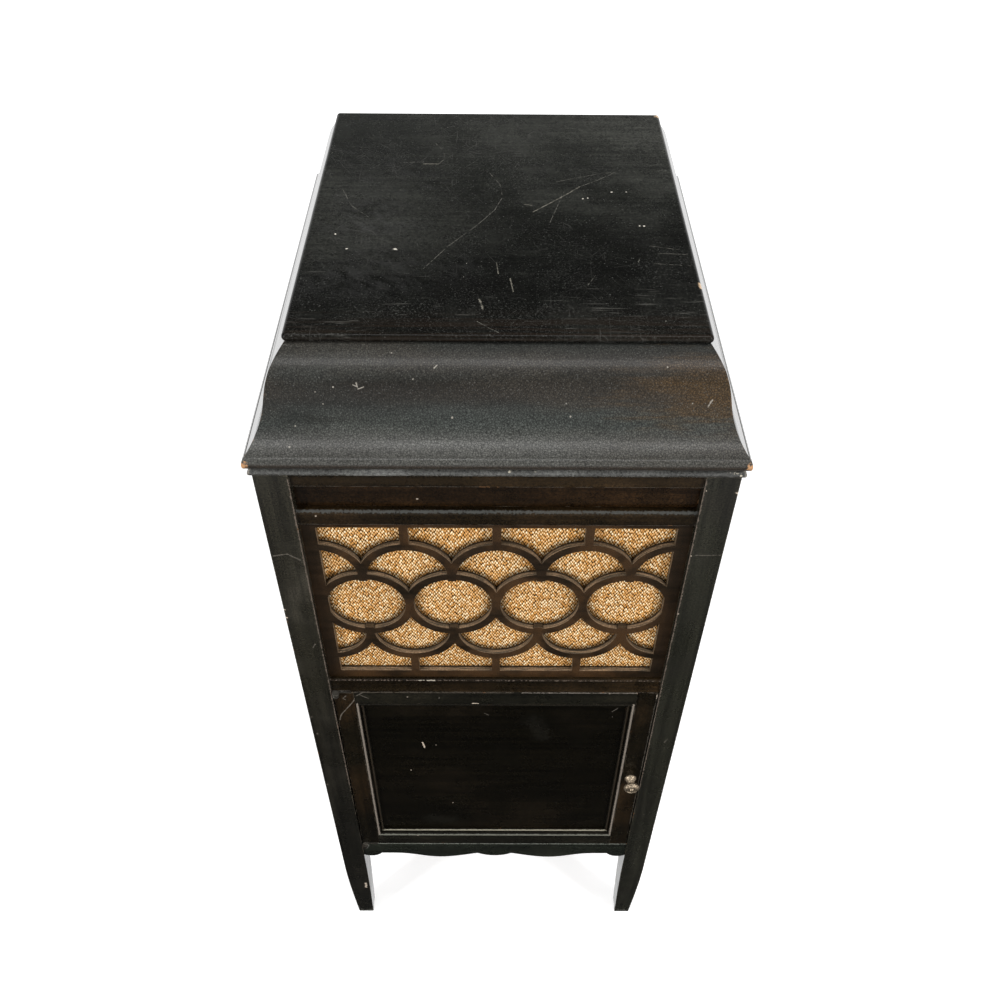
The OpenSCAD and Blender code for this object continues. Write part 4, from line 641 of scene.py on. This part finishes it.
def ogee_profile():
    """Closed section of the lid's moulding as (run, drop) from the edge of the flat top: a
    convex curve, a hollow one, a half round lip r cos a, r sin a, and back inside. Points on
    the curves are given as shares of the run and of the drop under the top board."""
    drop, r, steps = 88.3 * mm, 6.5 * mm, 33

    def at(f, g):
        return np.array([f, g]) * (OGEE_RUN, drop - BOARD) + (0, BOARD)

    hip = at(0.487, 0.44)
    swell = bezier([at(0, 0), at(0.33, 0.10), at(0.405, 0.22), hip], steps)
    flare = bezier([hip, at(0.557, 0.645), at(0.709, 0.77), (OGEE_RUN - r, drop - 2 * r)], steps)
    a = np.linspace(np.pi / 2, -np.pi / 2, 25)[1:]
    nose = np.stack([OGEE_RUN - r + r * np.cos(a), drop - r - r * np.sin(a)], axis=-1)
    inner = [at(0.57, 1), at(0.39, 0.795), at(0.30, 0.48), at(0.18, 0.28), at(-0.127, 0.144),
             at(-0.127, 0)]
    return np.vstack([swell, flare[1:], nose, inner])


def lid_moulding(material):
    """The three ogee lengths of the lid, with one section swept straight between the mitres:
    at run r the front is as wide as the flat top plus twice k r, and the sides start there."""
    section = ogee_profile()
    low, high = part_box("lid_front")
    half_top = 185 * mm
    k = (high[0] - half_top) / OGEE_RUN
    r, z = section[:, 0], high[2] + BOARD - section[:, 1]
    x, y = half_top + k * r, low[1] + OGEE_RUN - r
    back = np.full(len(r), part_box("lid_left")[1][1])
    pieces = {"lid_front": ((-x, y), (x, y)), "lid_right": ((x, y), (x, back)),
              "lid_left": ((-x, back), (-x, y))}
    n = len(section)
    for node, ends in pieces.items():
        rings = [np.stack([ex, ey, z], axis=-1) for ex, ey in ends]
        faces = grid_faces(2, n, wrap=True).tolist()
        faces += [list(range(n - 1, -1, -1)), list(range(n, 2 * n))]
        piece = surface(node + "_moulding", np.vstack(rings), faces, material)
        piece.data.set_sharp_from_angle(angle=math.radians(38))
        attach(piece, "lid")
        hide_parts(node)


def grille_sheet(material):
    """Cloth stretched behind the fret: a flat grid in x and z, pressed a hair into slow
    hollows, given by a product of sines, between the fret and the horn. One unit of its map
    is about a knot."""
    columns, rows, hollow, knot = 181, 123, 0.15 * mm, 1.95 * mm
    low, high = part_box("grille_cloth")
    across, up = np.meshgrid(np.linspace(low[0], high[0], columns),
                             np.linspace(low[2], high[2], rows))
    back = (low[1] + high[1]) / 2 + hollow * np.sin(across * 90) * np.sin(up * 75)
    points = np.stack([across, back, up], axis=-1).reshape(-1, 3)
    uv = np.stack([across, up], axis=-1).reshape(-1, 2) / knot
    sheet = surface("grille_cloth_sheet", points, grid_faces(rows, columns).tolist(), material,
                    uv=uv)
    thick = sheet.modifiers.new("thick", "SOLIDIFY")
    thick.thickness = 0.6 * mm
    thick.offset = 0
    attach(sheet, "case")
    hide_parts("grille_cloth")


def felt_disc(material):
    """Felt on the turntable: circles r cos a, r sin a at heights h, from the hole over the top
    and the rim, and back underneath, with a small chamfer at each edge."""
    around, circles, inner, edge, inset = 160, 24, 6 * mm, 0.35 * mm, 2 * mm
    low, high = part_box("turntable_felt")
    centre = np.add(low, high) / 2
    outer = (high[0] - low[0]) / 2
    thick = high[2] - low[2]
    radii = [inner, inner + edge, *np.linspace(inner + inset, outer - inset, circles),
             outer - edge, outer, outer, outer - edge, inner + edge, inner]
    heights = [thick - edge, thick, *[thick] * circles, thick, thick - edge, edge, 0, 0, edge]
    a = np.linspace(0, 2 * np.pi, around, endpoint=False)[None, :]
    r = np.array(radii)[:, None]
    h = np.array(heights)[:, None] + 0 * a
    points = np.stack([centre[0] + r * np.cos(a), centre[1] + r * np.sin(a), low[2] + h], axis=-1)
    first = np.arange(around)
    after = (first + 1) % around
    last = (len(radii) - 1) * around
    close = np.stack([last + first, last + after, after, first], axis=-1)
    faces = np.vstack([grid_faces(len(radii), around, wrap=True), close])[:, ::-1]
    disc = surface("turntable_felt_disc", points.reshape(-1, 3), faces.tolist(), material)
    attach(disc, "platter")
    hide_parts("turntable_felt")


# ---------------- finishes on the pieces
def front_marks(depth, *strokes):
    """Strokes given as (half width in mm, (x, z), ...) on a front face at a depth."""
    return [([(x, depth, z) for x, z in points], half * mm) for half, *points in strokes]


def case_finishes():
    """Finishes of the stained outside, each with the nodes that wear it."""
    post_face, cap_face, door_face, frieze_face, panel_face = (
        -0.250, -0.253, -0.2475, -0.24, -0.2405)
    rail_end = 0.183
    # rise paints light falling from above into the posts' stain, their tops lighter than their
    # feet; the left post is the darker of the two at the foot
    uprights = [stained_wood(
        name, "z", dark, (0.0135, 0.0118, 0.0085), wear=0.62, rise=rise, seed=seed, touches=(
            (PALE, 0.45, 3.2, front_marks(
                post_face, (0.7, (-0.2131, 0.8482), (-0.1993, 0.8511), (-0.1881, 0.8425)),
                (0.6, (-0.1907, 0.7076), (-0.1937, 0.7005)), (1.6, (-0.2124, 0.5659)),
                (1.4, (-0.2101, 0.5296)), (1.3, (-0.2124, 0.4083)), (0.8, (0.1980, 0.3300)),
                (0.7, (0.2050, 0.5200), (0.2020, 0.5120)),
                (0.5, (0.1888, 0.8518), (0.2013, 0.8516), (0.2140, 0.8523)))),
            (RAW, 1.0, 2.6, front_marks(
                post_face, (1.5, (-0.2147, 0.7660)), (1.2, (-0.2137, 0.7527)),
                (1.9, (-0.1905, 0.1110), (-0.1912, 0.0960)), (1.4, (0.2140, 0.9361)),
                (0.9, (0.1850, 0.8507)), (0.8, (0.1849, 0.7611)), (0.8, (0.1862, 0.9385)))),
            ((0.16, 0.125, 0.10), 0.8, 5.5, [
                ([(side * 0.1843, post_face, 0.40), (side * 0.1843, post_face, 0.95)], 0.7 * mm)
                for side in (-1, 1)]),
            ((0.10, 0.098, 0.085), 0.7, 3.5, [
                ([(side * 0.205, post_face, 0.002), (side * 0.190, post_face, 0.002)], 7 * mm)
                for side in (-1, 1)])))
        for name, dark, rise, seed in (("left_post_wood", (0.0058, 0.0052, 0.0034), 3.2, 1.0),
                                       ("right_post_wood", (0.0152, 0.0148, 0.0100), 1.1, 1.5))]
    cross = stained_wood(
        "rail_wood", "x", (0.0092, 0.0058, 0.0024), (0.025, 0.0142, 0.0056), wear=0.8, shine=0.11,
        worn=(0.16, 0.14, 0.115), seed=2.0, touches=(
            (RAW, 0.9, 2.6, front_marks(door_face, (0.8, (0.1221, 0.6378)),
                                        (0.7, (0.0367, 0.6406)), (0.8, (-0.1660, 0.9014)))),
            ((0.60, 0.55, 0.45), 0.9, 3.0, front_marks(
                door_face, (0.7, (-0.0849, 0.6370), (-0.0672, 0.6370)))),
            # a pale line along the middle rail's upper edge: partly wear, partly painted highlight
            ((0.19, 0.15, 0.12), 0.5, 7.0, front_marks(
                door_face, (0.5, (-rail_end, 0.6370), (rail_end, 0.6370)))),
            ((0.042, 0.027, 0.014), 0.25, 2.4, front_marks(
                door_face, (5.0, (-0.178, 0.9470), (0.178, 0.9470)))),
            # painted highlight along the bead rail's rounded top
            ((0.105, 0.110, 0.104), 0.6, 2.4, [
                ([(-rail_end, -0.2455, 0.9055), (rail_end, -0.2455, 0.9055)], 1.6 * mm)])))
    # The cap's stain is far paler than the other stained parts: painted sheen of its round nose
    # catching light. Its cream lines and spots are partly wear and partly painted highlight, and a
    # darker band runs along its lower part.
    cap = stained_wood("cap_wood", "x", (0.060, 0.060, 0.056), (0.150, 0.150, 0.140),
                       shine=0.5, rough=0.24, wear=1.0, worn=(0.36, 0.33, 0.28), seed=3.0,
                       touches=(((0.60, 0.55, 0.44), 1.0, 3.6, front_marks(
                           cap_face, (0.9, (-0.0956, 0.9560), (-0.0003, 0.9560)),
                           (1.0, (0.0023, 0.9642), (0.0431, 0.9642)), (1.5, (0.0110, 0.9638)),
                           (1.4, (0.0420, 0.9564), (0.0470, 0.9564)),
                           (1.0, (0.1756, 0.9564), (0.1914, 0.9564)),
                           (1.1, (0.2006, 0.9634), (0.2148, 0.9636)), (1.3, (0.2126, 0.9602)))),
                                ((0.030, 0.026, 0.020), 0.6, 4.0, front_marks(
                                    cap_face, (1.6, (-0.218, 0.9575), (0.218, 0.9575))))))
    thin = stained_wood(
        "frieze_wood", "x", (0.0090, 0.0048, 0.0019), (0.023, 0.0112, 0.0040),
        clouds=(0.35, 0.65), shine=0.12, wear=0.3, seed=4.0,
        touches=((RAW, 0.8, 2.6, front_marks(frieze_face, (1.1, (-0.0730, 0.9165)))),))
    door = stained_wood(
        "door_wood", "z", (0.0052, 0.0038, 0.0017), (0.0180, 0.0100, 0.0038), shine=0.11,
        clouds=(0.40, 0.66), wear=0.6, seed=5.0, touches=(
            (PALE, 0.6, 3.0, front_marks(
                door_face, (0.6, (-0.1454, 0.6159), (-0.1576, 0.6058), (-0.1612, 0.5956),
                            (-0.1787, 0.5663), (-0.1810, 0.5556)),
                (0.5, (-0.1690, 0.6060), (-0.1730, 0.6010), (-0.1700, 0.5980)))),
            (RAW, 0.9, 2.6, front_marks(door_face, (0.8, (0.1826, 0.6098), (0.1826, 0.6030)))),
            ((0.12, 0.105, 0.085), 0.7, 6.0, front_marks(
                door_face, (0.6, (0.1824, 0.30), (0.1824, 0.60))))))
    door_cross = stained_wood(
        "door_rail_wood", "x", (0.0070, 0.0064, 0.0040), (0.0150, 0.0125, 0.0075), shine=0.18,
        wear=0.25, seed=6.0, touches=(
            (PALE, 0.6, 3.0, front_marks(
                door_face, (0.6, (-0.1454, 0.6159), (-0.1576, 0.6058)),
                (0.4, (-0.1520, 0.6070), (-0.1440, 0.6010)))),
            (RAW, 0.9, 2.6, front_marks(
                door_face, (0.9, (-0.0996, 0.6041)), (0.8, (0.0600, 0.6130)),
                (0.8, (0.1285, 0.6125)), (1.2, (-0.1056, 0.2630)),
                (0.9, (-0.0260, 0.5915), (-0.0200, 0.5913)))),
            # along the top edge of the door's top rail, a dim line on the left and a pale one on
            # the right: partly wear, partly painted highlight
            ((0.085, 0.070, 0.055), 0.8, 5.0, front_marks(
                door_face, (0.6, (-0.160, 0.6130), (0.02, 0.6130)))),
            ((0.20, 0.175, 0.15), 0.8, 4.6, front_marks(
                door_face, (0.7, (0.03, 0.6130), (0.160, 0.6130))))))
    panel = stained_wood(
        "door_panel_wood", "x", (0.0032, 0.0025, 0.0012), (0.0078, 0.0054, 0.0028), rough=0.26,
        shine=0.10, wear=0.0, grit=0.05, seed=7.0, touches=(
            (PALE, 0.5, 3.0, front_marks(
                panel_face, (0.5, (0.1360, 0.5640), (0.1420, 0.5715)),
                (0.4, (-0.0130, 0.5600), (-0.0080, 0.5560)))),
            (RAW, 0.9, 2.6, front_marks(
                panel_face, (1.0, (-0.0881, 0.4944), (-0.0863, 0.4828)),
                (0.7, (-0.0721, 0.4887)), (0.9, (-0.0553, 0.3435)),
                (0.7, (-0.1060, 0.4283)))),
            ((0.013, 0.012, 0.009), 0.5, 6.0, front_marks(
                panel_face, (9.0, (0.045, 0.545), (0.055, 0.510)),
                (9.0, (-0.085, 0.300), (-0.060, 0.295))))))
    bead_x, fillet_x = 157.8 * mm, 153.2 * mm
    crest, low = -0.2474, -0.2430
    foot, head = 0.2625, 0.5900
    # The touches on the door's moulding are painted highlights: pale lines along the crests of the
    # side beads, a dim brown line along the side fillets, and pale lines along the bottom fillet
    # and the bottom bead.
    bead = stained_wood(
        "moulding_wood", "x", (0.0045, 0.0038, 0.0024), (0.0100, 0.0080, 0.0050), rough=0.30,
        shine=0.1, wear=0.0, seed=8.0, touches=(
            ((0.235, 0.20, 0.165), 0.95, 0.8, [
                ([(side * bead_x, crest, foot), (side * bead_x, crest, head)], 1.4 * mm)
                for side in (-1, 1)]),
            ((0.050, 0.038, 0.025), 0.8, 1.2, [
                ([(side * fillet_x, low, foot + 7 * mm), (side * fillet_x, low, head)], 1.2 * mm)
                for side in (-1, 1)]),
            ((0.32, 0.30, 0.23), 0.95, 1.0, [
                ([(-fillet_x, low, foot + 7.4 * mm), (fillet_x, low, foot + 7.4 * mm)], 1.4 * mm)]),
            ((0.17, 0.17, 0.14), 0.9, 1.3, [
                ([(-bead_x, crest, foot + 2.6 * mm), (bead_x, crest, foot + 2.6 * mm)],
                 1.5 * mm)])))
    side = stained_wood("side_wood", "z", (0.0085, 0.0080, 0.0062), (0.019, 0.0150, 0.0090),
                        wear=0.3, seed=9.0)
    apron = stained_wood(
        "apron_wood", "x", (0.0085, 0.0105, 0.0070), (0.0160, 0.0180, 0.0120), wear=0.5,
        worn=(0.12, 0.125, 0.11), seed=10.0, touches=(
            # a pale line along the apron's top edge: partly wear, partly painted highlight
            ((0.20, 0.21, 0.18), 0.85, 4.2, front_marks(
                door_face, (0.9, (-rail_end, 0.2378), (rail_end, 0.2378)))),
            ((0.26, 0.25, 0.22), 0.8, 4.0, front_marks(door_face, (3.4, (-0.1770, 0.2325)))),
            ((0.40, 0.27, 0.15), 0.8, 3.0, front_marks(
                door_face, (0.9, (-0.1700, 0.2375), (-0.1660, 0.2375))))))
    lid_back = stained_wood("lid_back_wood", "x", (0.013, 0.012, 0.010), (0.028, 0.022, 0.015),
                            rough=0.45, wear=0.4, seed=11.0)
    return {
        uprights[0]: ["post_front_left", "post_rear_left"],
        uprights[1]: ["post_front_right", "post_rear_right"],
        side: ["side_panel_left", "side_panel_right"],
        cross: ["top_rail", "bead_rail", "middle_rail"],
        cap: ["cap_moulding"], thin: ["frieze_board"], apron: ["apron"],
        door: ["door_stiles"], door_cross: ["door_rails"], panel: ["door_panel"],
        bead: ["door_moulding"], lid_back: ["lid_back"], top_board_wood(): ["lid_top"],
        fret_wood(): ["fret_panel"],
    }


def works_finishes():
    """Finishes of the inside, the motor and the metal fittings, each with its nodes."""
    inner = plain_wood("inner_wood", "y", (0.135, 0.072, 0.032), (0.085, 0.042, 0.018))
    back = plain_wood("back_wood", "z", (0.060, 0.038, 0.022), (0.032, 0.020, 0.012))
    board = plain_wood("motor_board_wood", "x", (0.075, 0.038, 0.018), (0.045, 0.022, 0.011), 0.4)
    horn = plain_wood("horn_wood", "y", (0.32, 0.20, 0.105), (0.22, 0.13, 0.065))
    brass = metal("old_brass", (0.36, 0.25, 0.12), (0.14, 0.095, 0.055), 0.38)
    hinge = metal("aged_hinge", (0.30, 0.28, 0.24), (0.07, 0.06, 0.05), 0.34, (0.35, 0.6))
    knob = metal("knob_brass", (0.74, 0.61, 0.45), (0.50, 0.40, 0.29), 0.42, (0.35, 0.6),
                 scale=160.0, chased=0.45)
    gear = metal("gear_brass", (0.60, 0.44, 0.18), (0.40, 0.28, 0.12), 0.25, brushed="x")
    steel = metal("motor_steel", (0.42, 0.42, 0.41), (0.25, 0.24, 0.22), 0.28, brushed="x")
    nickel = metal("worn_nickel", (0.62, 0.60, 0.56), (0.40, 0.37, 0.32), 0.18, (0.5, 0.75))
    rim = metal("turntable_nickel", (0.52, 0.51, 0.48), (0.33, 0.31, 0.28), 0.25, (0.5, 0.75))
    blued = metal("spring_blue", (0.10, 0.12, 0.16), (0.07, 0.07, 0.08), 0.3, brushed="x")
    iron = enamel("black_enamel", (0.012, 0.012, 0.012), (0.035, 0.032, 0.028))
    grip = stained_wood("grip_wood", "x", (0.016, 0.010, 0.007), (0.05, 0.03, 0.016),
                        shine=0.4, wear=0.6, seed=12.0)
    return {
        inner: ["cupboard_floor", "cupboard_ceiling", "record_dividers", "board_cleats"],
        back: ["back_panel"], board: ["motor_board"],
        horn: ["horn_top", "horn_bottom", "horn_cheeks"],
        iron: ["horn_elbow", "motor_frame"],
        brass: ["needle_cups", "lid_hinge_case_leaves", "lid_hinge_lid_leaves", "lid_stay",
                "stay_guide", "crank_escutcheon", "brake_lever", "speed_lever"],
        hinge: ["door_hinge_case_leaves", "door_hinge_door_leaves"], knob: ["door_knob"],
        gear: ["intermediate_gear", "governor"], blued: ["door_catch", "mainspring"],
        steel: ["spring_barrel", "winding_arbor", "turntable_spindle", "crank", "lever_pivots"],
        rim: ["turntable"], grip: ["crank_grip"],
        nickel: ["tonearm_base", "tonearm", "soundbox"],
    }


def dress():
    """Gives each node of the frame its finish, in every slot it has."""
    for material, names in {**case_finishes(), **works_finishes()}.items():
        for name in names:
            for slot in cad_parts[name].material_slots:
                slot.material = material


# ---------------- surroundings
def surroundings():
    """White all round for the camera and for reflections near the horizon, a darker ceiling
    in reflections, a plain level for everything else, and a pale floor that reflections see
    dark near the case and white under it and far off."""
    world = bpy.data.worlds.new("world")
    bpy.context.scene.world = world
    world.use_nodes = True
    world.node_tree.nodes.clear()
    w = Nodes(world.node_tree, "Generated")
    white = (1, 1, 1)
    ray = w.nodes.new("ShaderNodeLightPath").outputs
    lit = w.add("ShaderNodeBackground", sockets={"Color": white, "Strength": 0.4})
    seen = w.add("ShaderNodeBackground", sockets={"Color": white, "Strength": 1.0})
    mirrored = w.add("ShaderNodeBackground", sockets={
        "Color": white, "Strength": w.band(w.axis("Z"), 0.02, 0.55, 1.0, 0.12)})
    shine = w.math("MAXIMUM", ray["Is Glossy Ray"], ray["Is Transmission Ray"])
    gloss = w.add("ShaderNodeMixShader", sockets={0: shine, 1: lit, 2: mirrored})
    both = w.add("ShaderNodeMixShader", sockets={0: ray["Is Camera Ray"], 1: gloss, 2: seen})
    w.links.new(both, w.nodes.new("ShaderNodeOutputWorld").inputs["Surface"])

    f = Finish("floor_paper")
    f.nodes.remove(f.shader)
    diffuse = f.add("ShaderNodeBsdfDiffuse", sockets={"Color": (0.86, 0.86, 0.86)})
    ray = f.nodes.new("ShaderNodeLightPath").outputs
    far = f.vector("LENGTH", f.place, out="Value")
    lift = f.product(ray["Is Camera Ray"], f.band(far, 0.9, 3.0, 0.57, 1.0))
    glow = f.add("ShaderNodeEmission", sockets={"Strength": lift})
    plain = f.add("ShaderNodeAddShader", sockets={0: diffuse, 1: glow})
    half_wide, half_deep = 0.21, 0.24
    edge_x = f.math("DIVIDE", f.math("ABSOLUTE", f.axis("X")), half_wide)
    edge_y = f.math("DIVIDE", f.math("ABSOLUTE", f.axis("Y")), half_deep)
    under = f.band(f.math("MAXIMUM", edge_x, edge_y), 1.02, 0.98)
    mirrored = f.math("MAXIMUM", under, f.band(far, 0.8, 2.4, 0.04, 1.0))
    shown = f.add("ShaderNodeEmission", sockets={"Strength": mirrored})
    both = f.add("ShaderNodeMixShader", sockets={0: ray["Is Glossy Ray"], 1: plain, 2: shown})
    f.links.new(both, f.nodes["Material Output"].inputs["Surface"])
    corners, radius, below = 96, 6.0, -0.2 * mm
    a = np.linspace(0, 2 * np.pi, corners, endpoint=False)
    points = np.stack([radius * np.cos(a), radius * np.sin(a), np.full(corners, below)], axis=-1)
    floor = surface("floor", points, [list(range(corners))], f.mat, smooth=False)
    soft_lamp("overhead", (0.0, -0.5, 3.0), (0, -0.1, 0.9), 2.6, 0.45, 26)
    soft_lamp("left", (-1.9, -1.6, 1.9), (0, 0, 0.8), 0.35, 2.2, 36)
    soft_lamp("right", (1.9, -1.6, 1.9), (0, 0, 0.8), 0.35, 2.2, 36)


scene = bpy.context.scene
scene.view_settings.view_transform = "Standard"
place_camera()
surroundings()
dress()
lid_moulding(ogee_wood())
grille_sheet(gold_weave())
felt_disc(felt("green_felt", (0.045, 0.085, 0.055), (0.018, 0.036, 0.024)))
